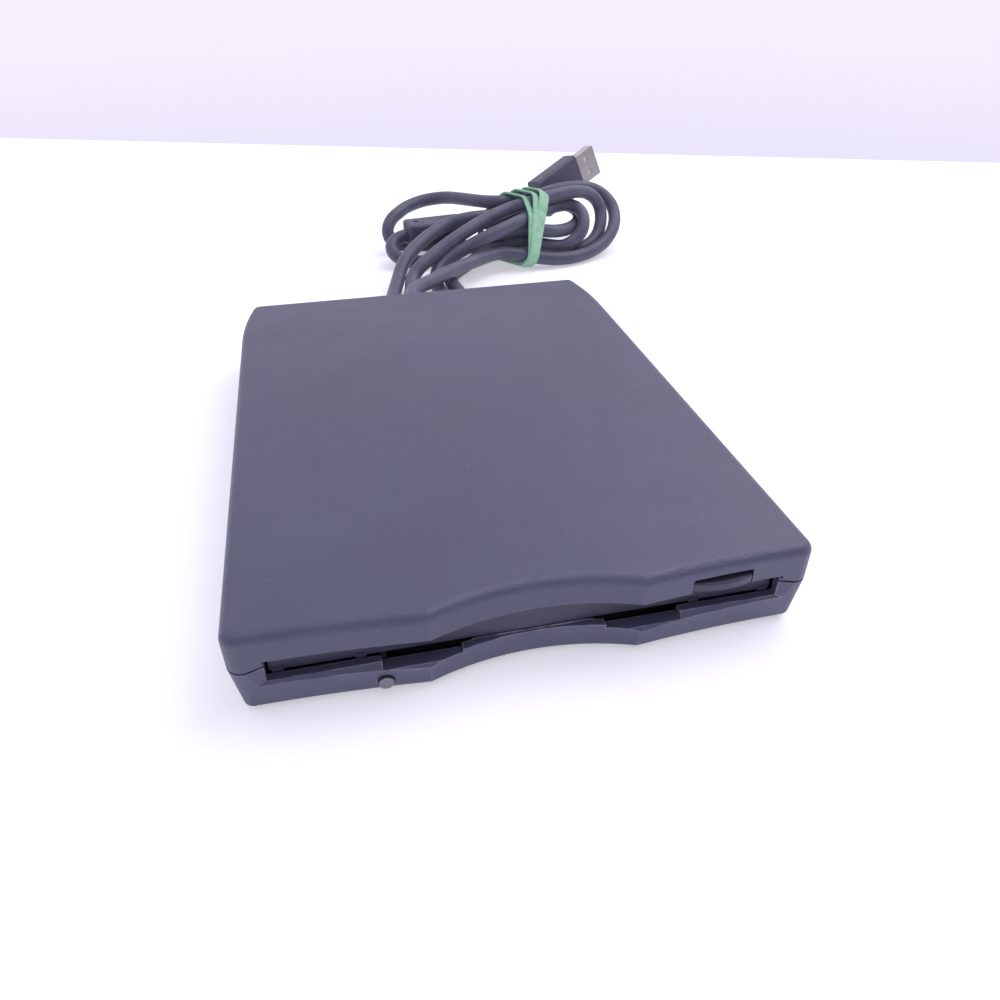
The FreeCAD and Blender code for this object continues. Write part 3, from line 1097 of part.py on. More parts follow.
def upper_head_arm():
    """Arm that carries the upper head: knuckle, sheet arm with folded edges and head holder."""
    half = ARM_WIDTH / 2
    knuckle = rod(-half, ARM_PIVOT_Y, ARM_PIVOT_Z, ARM_KNUCKLE_R, ARM_WIDTH, X_AXIS)
    blade = box(-half, HEAD_Y - HEAD_SIZE / 2 - 0.8, ARM_BOTTOM, half, ARM_PIVOT_Y, ARM_BOTTOM + ARM_SHEET)
    holder = box(-half + 0.5, HEAD_Y - HEAD_SIZE / 2 - 0.8, ARM_BOTTOM - 0.7, half - 0.5,
                 HEAD_Y + HEAD_SIZE / 2 + 0.8, ARM_BOTTOM + 0.1)
    waist = both_sides(box(2.6, HEAD_Y + 7, ARM_BOTTOM - 1, half + 1, ARM_PIVOT_Y - 4.5, ARM_BOTTOM + 2))
    pivot = rod(-half - 1, ARM_PIVOT_Y, ARM_PIVOT_Z, ARM_PIVOT_R + RUNNING_FIT, ARM_WIDTH + 2, X_AXIS)
    arm = knuckle.fuse([blade, holder]).cut(waist + [pivot]).removeSplitter()
    return opened(arm)


def upper_head():
    """Ceramic upper head under the arm's holder."""
    half = HEAD_SIZE / 2
    head = box(-half, HEAD_Y - half, UPPER_HEAD_BOTTOM, half, HEAD_Y + half, ARM_BOTTOM - 0.7)
    head = head.makeFillet(0.4, edges_at(head, UPPER_HEAD_BOTTOM))
    return opened(head)


def arm_pivot_pin():
    """Pin through the carriage's ears that the arm turns on."""
    return rod(-POST_WIDTH / 2, ARM_PIVOT_Y, ARM_PIVOT_Z, ARM_PIVOT_R, POST_WIDTH, X_AXIS)


# ================================================================ boards
def board(extent, z, thickness=BOARD_THICKNESS):
    """Rectangular circuit board with slightly rounded corners."""
    x0, y0, x1, y1 = extent
    return rounded_box(x0, y0, z, x1, y1, z + thickness, 0.8)


def chip(x, y, z, width, depth, height):
    """Moulded chip body with its corners broken."""
    return rounded_box(x - width / 2, y - depth / 2, z, x + width / 2, y + depth / 2, z + height, 0.25)


def control_chips():
    """Controller, head amplifier and motor driver on the control board."""
    z = CONTROL_BOARD_Z + BOARD_THICKNESS
    x0, y0, x1, y1 = CONTROL_BOARD
    parts = [chip(x0 + 10, y0 + 9, z, 12, 12, 1.5), chip(x0 + 23, y0 + 7, z, 7, 7, 1.2),
             chip(x0 + 22, y0 + 18, z, 8, 5, 1.6), chip(x0 + 8, y1 - 5, z, 9, 4, 2.2)]
    for index in range(5):
        parts.append(chip(x0 + 15 + 3 * index, y1 - 3, z, 1.6, 0.9, 0.7))
    return Part.makeCompound(parts)


def usb_chips():
    """Bridge chip, crystal and small parts on the USB board."""
    z = USB_BOARD_Z + BOARD_THICKNESS
    y = (USB_BOARD[1] + USB_BOARD[3]) / 2
    parts = [chip(-9, y, z, 5.6, 5.6, 1.2), chip(18, y, z, 10, 3.4, 2.4), chip(8, y + 1, z, 3, 2.4, 1.0)]
    parts += [chip(-24 + 2.4 * index, y + 2, z, 1.4, 0.8, 0.6) for index in range(3)]
    return Part.makeCompound(parts)


def board_ribbon():
    """Flat ribbon between the control board and the USB board."""
    x0 = USB_BOARD[0] + 4
    z = CONTROL_BOARD_Z + BOARD_THICKNESS
    return box(x0, CONTROL_BOARD[3] - 1.5, z, x0 + 12, USB_BOARD[1] + 1.5, z + 0.25)


def sensor_board():
    """Narrow board across the front that carries the light and the disk switches."""
    width, depth, _ = SWITCH_SIZE
    gap = PIN_CLEARANCE
    cuts = [box(x - width / 2 - gap, y - depth / 2 - gap, 0, x + width / 2 + gap, y + depth / 2 + gap,
                CASE_TOP)
            for x, y in SWITCH_PLACES]
    return board(SENSOR_BOARD, CHASSIS_TOP, BOARD_SHEET).cut(cuts)


def activity_led():
    """Side-looking light on the sensor board, behind the light pipe."""
    z = CHASSIS_TOP + BOARD_SHEET
    seat = front_y(LED_X) + WALL + LOWER_DRAFT + 1.0
    body = box(LED_X - 1.5, SENSOR_BOARD[1] + 0.2, z, LED_X + 1.5, SENSOR_BOARD[1] + 2.4, z + 1.5)
    dome = rod(LED_X, seat + 0.2, z + 0.75, 0.7, SENSOR_BOARD[1] + 0.3 - seat - 0.2, Y_AXIS)
    return body.fuse(dome)


def disk_switches():
    """Housings of the three disk switches: write protect, density and disk in."""
    width, depth, height = SWITCH_SIZE
    top = CHASSIS_TOP + height
    cases = []
    for x, y in SWITCH_PLACES:
        case = chip(x, y, CHASSIS_TOP, width, depth, height)
        bore = rod(x, y, CHASSIS_TOP + SWITCH_WALL, PLUNGER_R + RUNNING_FIT, height)
        chamber = rod(x, y, CHASSIS_TOP + SWITCH_WALL, PLUNGER_COLLAR_R + 2 * RUNNING_FIT,
                      top - CHASSIS_TOP - 2 * SWITCH_WALL)
        cases.append(case.cut([bore, chamber]))
    return Part.makeCompound(cases)


def plunger(index):
    """Plunger of one disk switch, with the collar that keeps it in its housing."""
    x, y = SWITCH_PLACES[index]
    collar_top = CHASSIS_TOP + SWITCH_SIZE[2] - SWITCH_WALL - PIN_CLEARANCE
    collar = rod(x, y, collar_top - PLUNGER_COLLAR, PLUNGER_COLLAR_R, PLUNGER_COLLAR)
    pin = rod(x, y, collar_top - PLUNGER_COLLAR, PLUNGER_R, PLUNGER_TOP - collar_top + PLUNGER_COLLAR)
    pin = pin.makeFillet(0.25, edges_at(pin, PLUNGER_TOP))
    return pin.fuse(collar).removeSplitter()


# ================================================================ cord
def strain_relief():
    """Tapered, grooved boot clamped by the two shells' rear walls."""
    face = REAR_Y
    inner = rod(0, face - WALL - 1.6, GLAND_Z, GLAND_R, 1.6, Y_AXIS)
    neck = rod(0, face - WALL - 0.1, GLAND_Z, GLAND_R - GLAND_GROOVE - LIP_CLEARANCE, WALL + 0.2, Y_AXIS)
    boot = Part.makeCone(GLAND_R, GLAND_TIP_R, GLAND_LENGTH, V(0, face, GLAND_Z), Y_AXIS)
    body = inner.fuse([neck, boot])
    grooves = []
    for index in range(4):
        y = face + 2.6 + 2.8 * index
        ring = rod(0, y, GLAND_Z, GLAND_R + 1, 1.1, Y_AXIS)
        grooves.append(ring.cut(rod(0, y - 1, GLAND_Z, CORD_R + 0.35, 4, Y_AXIS)))
    return body.cut(grooves).removeSplitter()


def route_path(points):
    """Straight runs joined by tangent arcs through a route, and the radius of each arc."""
    corners = [V(*p) for p in points]
    edges, radii = [], []
    start = corners[0]
    for before, here, after in zip(corners, corners[1:], corners[2:]):
        come, leave = here - before, after - here
        reach = 0.45 * min(come.Length, leave.Length)
        half_turn = come.getAngle(leave) / 2
        come_end = here - come.normalize() * reach
        leave_start = here + leave.normalize() * reach
        radius = reach / math.tan(half_turn)
        to_centre = (come_end + leave_start) / 2 - here
        middle = here + to_centre.normalize() * (radius / math.cos(half_turn) - radius)
        edges.append(Part.LineSegment(start, come_end).toShape())
        edges.append(Part.Arc(come_end, middle, leave_start).toShape())
        radii.append(radius)
        start = leave_start
    edges.append(Part.LineSegment(start, corners[-1]).toShape())
    return Part.Wire(edges), radii


def usb_cord():
    """Round cord from the strain relief to the hank."""
    path, radii = route_path(CORD_ROUTE)
    start = V(*CORD_ROUTE[0])
    direction = (V(*CORD_ROUTE[1]) - start).normalize()
    tube = path.makePipeShell([circle_wire(CORD_R, start, direction)], True, False)
    expected = math.pi * CORD_R ** 2 * path.Length
    print("cord: arc radii", [round(r, 1) for r in radii], "length", round(path.Length, 1),
          "volume", round(tube.Volume, 1), "expected", round(expected, 1))
    return tube


def hank_point(along, across, height):
    """Point given along and across the hank, at a height above the ground."""
    angle = math.radians(HANK_TURN_DEG)
    x = HANK_CENTRE[0] + along * math.cos(angle) - across * math.sin(angle)
    y = HANK_CENTRE[1] + along * math.sin(angle) + across * math.cos(angle)
    return V(x, y, height)


def hank_ring(station, across, height, long_half, short_half, lean, floor, grow=0.0):
    """Points of one leaning oval cross-section of the hank, kept above a floor."""
    lean = math.radians(lean)
    points = []
    for index in range(HANK_SIDES):
        turn = 2 * math.pi * index / HANK_SIDES
        along, aside = (long_half + grow) * math.cos(turn), (short_half + grow) * math.sin(turn)
        rise = height + along * math.sin(lean) + aside * math.cos(lean)
        points.append(hank_point(station, across + along * math.cos(lean) - aside * math.sin(lean),
                                 max(rise, floor)))
    return points


def hank_station(station):
    """Cross-section values of the hank at a station between two of the listed ones."""
    for low, high in zip(HANK_SECTIONS, HANK_SECTIONS[1:]):
        if low[0] <= station <= high[0]:
            share = (station - low[0]) / (high[0] - low[0])
            return [a + (b - a) * share for a, b in zip(low, high)]
    raise ValueError("station outside the hank")


def faceted_solid(rings):
    """Closed solid through rings of points, with flat facets between them."""
    faces = [Part.Face(Part.makePolygon(ring + ring[:1])) for ring in (rings[0], rings[-1])]
    for near, far in zip(rings, rings[1:]):
        for index in range(len(near)):
            after = (index + 1) % len(near)
            for corners in ((near[index], near[after], far[after]), (near[index], far[after], far[index])):
                faces.append(Part.Face(Part.makePolygon(list(corners) + [corners[0]])))
    return Part.makeSolid(Part.makeShell(faces))


def strand(points):
    """One strand of the bundle as a round tube along its route."""
    path, _ = route_path(points)
    start = V(*points[0])
    direction = (V(*points[1]) - start).normalize()
    return path.makePipeShell([circle_wire(CORD_R, start, direction)], True, False)


def ground_folds():
    """Folds at the left end of the bundle, where its strands lie flat on the ground."""
    x, y = LEFT_FOLD
    pad = rod(x, y, HANK_FLOOR, LEFT_FOLD_OUTER_R, 2 * CORD_R)
    pad = pad.cut(rod(x, y, HANK_FLOOR - 1, LEFT_FOLD_INNER_R, 2 * CORD_R + 2))
    return pad.makeFillet(0.85 * CORD_R, edges_at(pad, HANK_FLOOR + 2 * CORD_R))


def hank_body():
    """Body of the bundle, where its strands lie together: it leans back and rises to the right."""
    return faceted_solid([hank_ring(*section, floor=HANK_BODY_FLOOR) for section in HANK_SECTIONS])


def cord_hank():
    """Outer shape of the bundled cord: body, back loop, side loop, plug lead and the folds on the ground."""
    bundle = hank_body()
    for points in (BACK_LOOP, SIDE_LOOP, PLUG_LEAD) + LEFT_STRANDS:
        bundle = bundle.fuse(strand(points))
    return bundle.fuse(ground_folds())


def cord_band():
    """Rubber band round the waist of the hank."""
    ends = [hank_station(BAND_STATION + side * BAND_WIDTH / 2) for side in (-1, 1)]
    outer = faceted_solid([hank_ring(*end, floor=HANK_FLOOR, grow=BAND_THICKNESS) for end in ends])
    return outer.cut(hank_body())


def plug_placement():
    """Placement of the plug: its own +X is the insertion direction, +Y its wide side."""
    turn = FreeCAD.Rotation(Z_AXIS, PLUG_TURN_DEG)
    pitch = FreeCAD.Rotation(Y_AXIS, -PLUG_PITCH_DEG)
    roll = FreeCAD.Rotation(X_AXIS, 90 - PLUG_ROLL_DEG)
    return FreeCAD.Placement(V(*PLUG_FACE), turn.multiply(pitch).multiply(roll))


def placed_on_plug(shape):
    """Move a shape from the plug's own frame to its place on the hank."""
    shape = shape.copy()
    shape.Placement = plug_placement().multiply(shape.Placement)
    return shape


def usb_plug_body():
    """Moulded grip of the plug, narrowing to the cord."""
    length, width, thickness = PLUG_BODY
    grip = box(-length, -width / 2, -thickness / 2, 0, width / 2, thickness / 2)
    grip = grip.makeFillet(1.6, [e for e in grip.Edges if abs(e.tangentAt(e.FirstParameter).x) > 0.9])
    socket = box(-1.5, -PLUG_SHELL[1] / 2, -PLUG_SHELL[2] / 2, 1, PLUG_SHELL[1] / 2, PLUG_SHELL[2] / 2)
    tail = Part.makeCone(CORD_R + 0.3, CORD_R + 1.2, 8, V(-length - 8, 0, 0), X_AXIS)
    return placed_on_plug(grip.fuse(tail).cut(socket).removeSplitter())


def usb_plug_shell():
    """Folded metal shell of the plug with two latch windows on each wide face."""
    length, width, thickness = PLUG_SHELL
    shell = box(-1.5, -width / 2, -thickness / 2, length, width / 2, thickness / 2)
    inside = PLUG_SHELL_SHEET
    shell = shell.cut(box(-1.2, -width / 2 + inside, -thickness / 2 + inside, length + 1,
                          width / 2 - inside, thickness / 2 - inside))
    windows = [box(5.2, y - 1.1, -thickness, 7.6, y + 1.1, thickness) for y in (-2.9, 2.9)]
    return placed_on_plug(shell.cut(windows))


def usb_plug_tongue():
    """Plastic contact carrier inside the plug's shell."""
    length, width, thickness = PLUG_TONGUE
    top = PLUG_SHELL[2] / 2 - PLUG_SHELL_SHEET
    return placed_on_plug(box(-1.2, -width / 2, top - thickness, length, width / 2, top))


def usb_plug_contacts():
    """Four contact strips on the tongue."""
    length = PLUG_TONGUE[0]
    top = PLUG_SHELL[2] / 2 - PLUG_SHELL_SHEET - PLUG_TONGUE[2]
    strips = [box(1.0, y - 0.5, top - 0.15, length - 0.6, y + 0.5, top) for y in (-3.5, -1.0, 1.0, 3.5)]
    return Part.makeCompound([placed_on_plug(strip) for strip in strips])


def cord_sleeve():
    """Moulded suppressor housing on the cord, with a moulding dimple at one end."""
    length, width, height = SLEEVE_SIZE
    body = box(-length / 2, -width / 2, -height / 2, length / 2, width / 2, height / 2)
    body = body.makeFillet(1.5, [e for e in body.Edges if abs(e.tangentAt(e.FirstParameter).x) > 0.9])
    ends = [e for e in body.Edges if abs(abs(e.BoundBox.XMin) - length / 2) < 1e-4
            and abs(e.BoundBox.XMax - e.BoundBox.XMin) < 1e-4]
    body = body.makeChamfer(0.6, ends)
    body = body.cut(rod(-length / 2 + 4, 0, height / 2 - 0.6, 0.9, 2))
    body.rotate(V(0, 0, 0), Z_AXIS, SLEEVE_TURN_DEG)
    body.translate(V(*SLEEVE_CENTRE))
    return body


# ================================================================ build list
def pieces():
    """Node names and the solids they hold."""
    return {
        "upper_case": upper_case(),
        "lower_case": lower_case(),
        "rubber_feet": rubber_feet(),
        "case_screws": case_screws(),
        "drive_screws": drive_screws(),
        "slot_door": slot_door(),
        "door_spring": door_spring(),
        "eject_button": eject_button(),
        "led_light_pipe": led_light_pipe(),
        "drive_chassis": drive_chassis(),
        "drive_cover": drive_cover(),
        "slider_plate": slider_plate(),
        "slider_springs": slider_springs(),
        "disk_carrier": disk_carrier(),
        "carrier_pins": carrier_pins(),
        "shutter_lever": shutter_lever(),
        "lever_spring": lever_spring(),
        "motor_board": motor_board(),
        "stator_coils": stator_coils(),
        "spindle_bush": spindle_bush(),
        "spindle_shaft": spindle_shaft(),
        "spindle_rotor": spindle_rotor(),
        "spindle_hub": spindle_hub(),
        "drive_pin": drive_pin(),
        "guide_rails": guide_rails(),
        "head_carriage": head_carriage(),
        "follower_pin": follower_pin(),
        "lead_screw": lead_screw(),
        "stepper_motor": stepper_motor(),
        "stepper_bracket": stepper_bracket(),
        "lower_head": lower_head(),
        "upper_head_arm": upper_head_arm(),
        "upper_head": upper_head(),
        "arm_pivot_pin": arm_pivot_pin(),
        "control_board": board(CONTROL_BOARD, CONTROL_BOARD_Z),
        "control_chips": control_chips(),
        "usb_board": board(USB_BOARD, USB_BOARD_Z),
        "usb_chips": usb_chips(),
        "board_ribbon": board_ribbon(),
        "sensor_board": sensor_board(),
        "activity_led": activity_led(),
        "disk_switches": disk_switches(),
        "write_protect_plunger": plunger(0),
        "density_plunger": plunger(1),
        "disk_in_plunger": plunger(2),
        "strain_relief": strain_relief(),
        "usb_cord": usb_cord(),
        "cord_hank": cord_hank(),
        "cord_band": cord_band(),
        "usb_plug_body": usb_plug_body(),
        "usb_plug_shell": usb_plug_shell(),
        "usb_plug_tongue": usb_plug_tongue(),
        "usb_plug_contacts": usb_plug_contacts(),
        "cord_sleeve": cord_sleeve(),
    }


def main():
    """Build every piece, report it and write its STEP file."""
    os.makedirs("parts", exist_ok=True)
    for name, shape in pieces().items():
        print(f"{name:24s} solids {len(shape.Solids):2d} volume {shape.Volume:9.2f} valid {shape.isValid()}")
        shape.exportStep(f"parts/{name}.step")


main()
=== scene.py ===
"""Looks of an external floppy disk drive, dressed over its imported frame.

Every length is in metres unless its name ends in _mm. Each finish is a small class whose
node tree is built from real sizes, and each new sub-assembly is a class with its own sizes.
"""

import logging
import math
from dataclasses import dataclass
from enum import Enum

import bmesh
import bpy
from mathutils import Matrix, Vector
from mathutils.geometry import convex_hull_2d


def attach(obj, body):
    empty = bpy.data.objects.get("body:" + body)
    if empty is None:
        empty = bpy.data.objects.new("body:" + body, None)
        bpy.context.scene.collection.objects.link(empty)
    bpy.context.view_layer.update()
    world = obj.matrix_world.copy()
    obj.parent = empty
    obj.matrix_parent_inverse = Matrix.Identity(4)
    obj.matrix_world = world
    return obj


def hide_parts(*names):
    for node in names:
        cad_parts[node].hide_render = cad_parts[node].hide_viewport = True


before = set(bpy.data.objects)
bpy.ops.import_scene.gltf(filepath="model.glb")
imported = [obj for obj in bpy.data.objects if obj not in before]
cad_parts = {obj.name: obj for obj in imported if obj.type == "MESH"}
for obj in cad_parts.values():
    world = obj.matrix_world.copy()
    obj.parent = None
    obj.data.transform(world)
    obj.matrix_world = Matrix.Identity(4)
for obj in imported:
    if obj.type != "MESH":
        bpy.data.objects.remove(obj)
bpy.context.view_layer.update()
LOG = logging.getLogger("floppy_drive")
MM = 0.001
Point = tuple[float, float, float]
# Sockets of a Mix node that mixes colours: its two colours going in, and the mixture coming out.
COLOUR_A, COLOUR_B, MIXTURE = 6, 7, 2

# Centreline of the lead, from its boot through every turn of the bundle to the plug.
LEAD_POINTS: tuple[Point, ...] = (
    (0.0000, 0.0855, 0.0096), (0.0000, 0.0920, 0.0096), (0.0030, 0.0985, 0.0093), (0.0085, 0.1045, 0.0088),
    (0.0145, 0.1115, 0.0084), (0.0215, 0.1185, 0.0081), (0.0295, 0.1255, 0.0078), (0.0394, 0.1336, 0.0074),
    (0.0461, 0.1332, 0.0064), (0.0525, 0.1330, 0.0050), (0.0586, 0.1330, 0.0037), (0.0648, 0.1331, 0.0030),
    (0.0725, 0.1349, 0.0028), (0.0804, 0.1387, 0.0034), (0.0873, 0.1431, 0.0058), (0.0920, 0.1483, 0.0096),
    (0.0942, 0.1553, 0.0136), (0.0929, 0.1605, 0.0172), (0.0890, 0.1641, 0.0202), (0.0825, 0.1632, 0.0222),
    (0.0752, 0.1609, 0.0228), (0.0686, 0.1594, 0.0224), (0.0618, 0.1576, 0.0214), (0.0543, 0.1551, 0.0210),
    (0.0465, 0.1533, 0.0208), (0.0400, 0.1573, 0.0202), (0.0340, 0.1665, 0.0192), (0.0270, 0.1769, 0.0180),
    (0.0180, 0.1799, 0.0166), (0.0102, 0.1762, 0.0154), (0.0064, 0.1724, 0.0144), (0.0024, 0.1690, 0.0126),
    (0.0002, 0.1658, 0.0094), (0.0010, 0.1642, 0.0056), (0.0050, 0.1646, 0.0032), (0.0100, 0.1652, 0.0027),
    (0.0145, 0.1644, 0.0027), (0.0180, 0.1626, 0.0027), (0.0260, 0.1596, 0.0027), (0.0340, 0.1562, 0.0027),
    (0.0430, 0.1520, 0.0028), (0.0520, 0.1485, 0.0028), (0.0600, 0.1465, 0.0027), (0.0733, 0.1430, 0.0028),
    (0.0792, 0.1442, 0.0036), (0.0845, 0.1478, 0.0062), (0.0873, 0.1517, 0.0104), (0.0880, 0.1554, 0.0150),
    (0.0855, 0.1561, 0.0194), (0.0806, 0.1547, 0.0224), (0.0734, 0.1508, 0.0238), (0.0666, 0.1487, 0.0234),
    (0.0599, 0.1467, 0.0226), (0.0535, 0.1455, 0.0218), (0.0475, 0.1458, 0.0204), (0.0413, 0.1433, 0.0192),
    (0.0351, 0.1403, 0.0178), (0.0284, 0.1363, 0.0160), (0.0213, 0.1322, 0.0136), (0.0145, 0.1284, 0.0108),
    (0.0076, 0.1225, 0.0084), (0.0035, 0.1186, 0.0052), (0.0026, 0.1110, 0.0032), (-0.0003, 0.1015, 0.0027),
    (0.0001, 0.0963, 0.0027), (0.0038, 0.0926, 0.0027), (0.0090, 0.0922, 0.0027), (0.0132, 0.0951, 0.0027),
    (0.0146, 0.1002, 0.0027), (0.0130, 0.1085, 0.0028), (0.0122, 0.1165, 0.0030), (0.0134, 0.1242, 0.0044),
    (0.0173, 0.1282, 0.0074), (0.0235, 0.1299, 0.0100), (0.0304, 0.1314, 0.0126), (0.0369, 0.1325, 0.0148),
    (0.0437, 0.1351, 0.0164), (0.0503, 0.1393, 0.0174), (0.0567, 0.1436, 0.0179), (0.0634, 0.1487, 0.0182),
    (0.0684, 0.1520, 0.0184), (0.0734, 0.1528, 0.0183), (0.0768, 0.1496, 0.0172), (0.0776, 0.1456, 0.0148),
    (0.0764, 0.1419, 0.0116), (0.0736, 0.1402, 0.0086), (0.0694, 0.1394, 0.0065), (0.0668, 0.1401, 0.0056),
    (0.0614, 0.1402, 0.0064), (0.0551, 0.1398, 0.0082), (0.0490, 0.1419, 0.0084), (0.0431, 0.1427, 0.0074),
    (0.0340, 0.1395, 0.0048), (0.0265, 0.1335, 0.0032), (0.0205, 0.1270, 0.0027), (0.0178, 0.1190, 0.0027),
    (0.0190, 0.1105, 0.0027), (0.0194, 0.1025, 0.0027), (0.0199, 0.0953, 0.0027), (0.0163, 0.0887, 0.0027),
    (0.0097, 0.0851, 0.0027), (0.0023, 0.0857, 0.0027), (-0.0037, 0.0902, 0.0027), (-0.0062, 0.0973, 0.0027),
    (-0.0052, 0.1060, 0.0028), (-0.0010, 0.1209, 0.0048), (0.0014, 0.1275, 0.0076), (0.0063, 0.1346, 0.0104),
    (0.0134, 0.1425, 0.0128), (0.0212, 0.1489, 0.0146), (0.0290, 0.1495, 0.0164), (0.0372, 0.1503, 0.0166),
    (0.0445, 0.1521, 0.0158), (0.0516, 0.1540, 0.0152), (0.0590, 0.1574, 0.0154), (0.0650, 0.1598, 0.0163),
    (0.0706, 0.1608, 0.0168), (0.0754, 0.1596, 0.0162), (0.0784, 0.1562, 0.0146), (0.0776, 0.1508, 0.0122),
    (0.0726, 0.1458, 0.0109), (0.0662, 0.1412, 0.0114), (0.0591, 0.1384, 0.0128), (0.0531, 0.1405, 0.0136),
    (0.0472, 0.1413, 0.0132), (0.0418, 0.1421, 0.0116), (0.0345, 0.1490, 0.0070), (0.0255, 0.1465, 0.0046),
    (0.0170, 0.1440, 0.0030), (0.0090, 0.1425, 0.0029), (0.0030, 0.1440, 0.0038), (-0.0002, 0.1480, 0.0060),
    (0.0005, 0.1525, 0.0084), (0.0050, 0.1551, 0.0098), (0.0110, 0.1560, 0.0102), (0.0185, 0.1570, 0.0102),
    (0.0300, 0.1587, 0.0102), (0.0390, 0.1598, 0.0110), (0.0485, 0.1620, 0.0122), (0.0588, 0.1648, 0.0141),
)


def linear(hex_code: str) -> tuple[float, float, float, float]:
    """Turns an sRGB hex colour into a linear colour.

    Args:
        hex_code: Six hex digits, with or without a leading hash.

    Returns:
        Linear red, green, blue and an alpha of 1.
    """
    digits = hex_code.lstrip("#")
    parts = [int(digits[i:i + 2], 16) / 255 for i in (0, 2, 4)]
    red, green, blue = (p / 12.92 if p <= 0.04045 else ((p + 0.055) / 1.055) ** 2.4 for p in parts)
    return red, green, blue, 1.0


def add_node(tree: bpy.types.NodeTree, kind: str, values: dict | None = None, links: dict | None = None,
             **settings: object) -> bpy.types.Node:
    """Adds a node with its settings, its socket values and its links.

    Args:
        tree: Node tree that the node goes into.
        kind: Blender's name for the node type.
        values: Socket name or number to value.
        links: Socket name or number to the output that feeds it.
        **settings: Properties of the node itself.

    Returns:
        The new node.
    """
    node = tree.nodes.new(kind)
    for name, value in settings.items():
        setattr(node, name, value)
    for socket, value in (values or {}).items():
        node.inputs[socket].default_value = value
    for socket, source in (links or {}).items():
        tree.links.new(source, node.inputs[socket])
    return node


def fresh_tree(name: str) -> tuple[bpy.types.Material, bpy.types.NodeTree]:
    """Makes a material with an empty node tree.

    Args:
        name: Name of the material.

    Returns:
        The material and its tree.
    """
    material = bpy.data.materials.new(name)
    material.use_nodes = True
    material.node_tree.nodes.clear()
    return material, material.node_tree


class Lay(Enum):
    """Direction in which a surface's marks run, as the stretch of the pattern along X, Y and Z."""

    EVEN = (1.0, 1.0, 1.0)
    ALONG_X = (0.04, 1.0, 1.0)
    ALONG_Y = (1.0, 0.04, 1.0)
    ALONG_Z = (1.0, 1.0, 0.04)


@dataclass(frozen=True)
class Finish:
    """A real finish: its colours, its gloss and the marks that its making left.

    The mottle is the slow change of colour over the surface, and the grain is the fine relief.
    """

    name: str
    base: str
    mottle: str
    mottle_mm: float
    rough: float
    rough_swing: float
    grain_mm: float
    grain_depth_mm: float
    lay: Lay = Lay.EVEN
    metallic: float = 0.0
    ior: float = 1.5
    transmission: float = 0.0
    coat: float = 0.0
    coat_rough: float = 0.25
    sheen: float = 0.0
    falloff: float = 0.55
    mottle_span: tuple[float, float] = (0.35, 0.65)
    gloss_span: tuple[float, float] = (0.3, 0.7)
    gloss_scale: float = 0.6

    def noise(self, tree: bpy.types.NodeTree, size_mm: float, detail: float,
              lay: Lay) -> bpy.types.NodeSocket:
        """Adds a noise whose features have a real size.

        Args:
            tree: Node tree of the material.
            size_mm: Width of a feature in millimetres.
            detail: Number of finer layers in the noise.
            lay: Direction in which the features are drawn out.

        Returns:
            The noise value, from 0 to 1.
        """
        place = add_node(tree, "ShaderNodeTexCoord").outputs["Object"]
        if lay is not Lay.EVEN:
            place = add_node(tree, "ShaderNodeMapping", {"Scale": lay.value},
                             {"Vector": place}).outputs["Vector"]
        grain = add_node(tree, "ShaderNodeTexNoise", {"Scale": 1 / (size_mm * MM), "Detail": detail,
                                                      "Roughness": self.falloff}, {"Vector": place})
        return grain.outputs["Fac"]

    def colour(self, tree: bpy.types.NodeTree) -> bpy.types.NodeSocket:
        """Mixes the base colour and the mottle.

        Args:
            tree: Node tree of the material.

        Returns:
            The colour of the surface.
        """
        start, end = self.mottle_span
        cloud = self.noise(tree, self.mottle_mm, detail=3.0, lay=self.lay)
        share = add_node(tree, "ShaderNodeMapRange", {"From Min": start, "From Max": end}, {"Value": cloud})
        colours = {COLOUR_A: linear(self.base), COLOUR_B: linear(self.mottle)}
        blend = add_node(tree, "ShaderNodeMix", colours, {0: share.outputs["Result"]}, data_type="RGBA")
        return blend.outputs[MIXTURE]

    def gloss(self, tree: bpy.types.NodeTree) -> bpy.types.NodeSocket:
        """Varies the roughness slowly, as handling does.

        Args:
            tree: Node tree of the material.

        Returns:
            The roughness of the surface.
        """
        start, end = self.gloss_span
        spread = {"From Min": start, "From Max": end, "To Min": self.rough - self.rough_swing,
                  "To Max": self.rough + self.rough_swing}
        cloud = self.noise(tree, self.mottle_mm * self.gloss_scale, detail=4.0, lay=self.lay)
        return add_node(tree, "ShaderNodeMapRange", spread, {"Value": cloud}).outputs["Result"]

    def relief(self, tree: bpy.types.NodeTree) -> bpy.types.NodeSocket:
        """Turns the grain into a bumped normal.

        Args:
            tree: Node tree of the material.

        Returns:
            The normal of the surface.
        """
        height = self.noise(tree, self.grain_mm, detail=2.0, lay=self.lay)
        return add_node(tree, "ShaderNodeBump", {"Strength": 1.0, "Distance": self.grain_depth_mm * MM},
                        {"Height": height}).outputs["Normal"]

    def build(self) -> bpy.types.Material:
        """Builds the material.

        Returns:
            The finished material.
        """
        material, tree = fresh_tree(self.name)
        fixed = {"Metallic": self.metallic, "IOR": self.ior, "Transmission Weight": self.transmission,
                 "Coat Weight": self.coat, "Coat Roughness": self.coat_rough, "Sheen Weight": self.sheen}
        fed = {"Base Color": self.colour(tree), "Roughness": self.gloss(tree), "Normal": self.relief(tree)}
        shader = add_node(tree, "ShaderNodeBsdfPrincipled", fixed, fed)
        add_node(tree, "ShaderNodeOutputMaterial", links={"Surface": shader.outputs["BSDF"]})
        return material


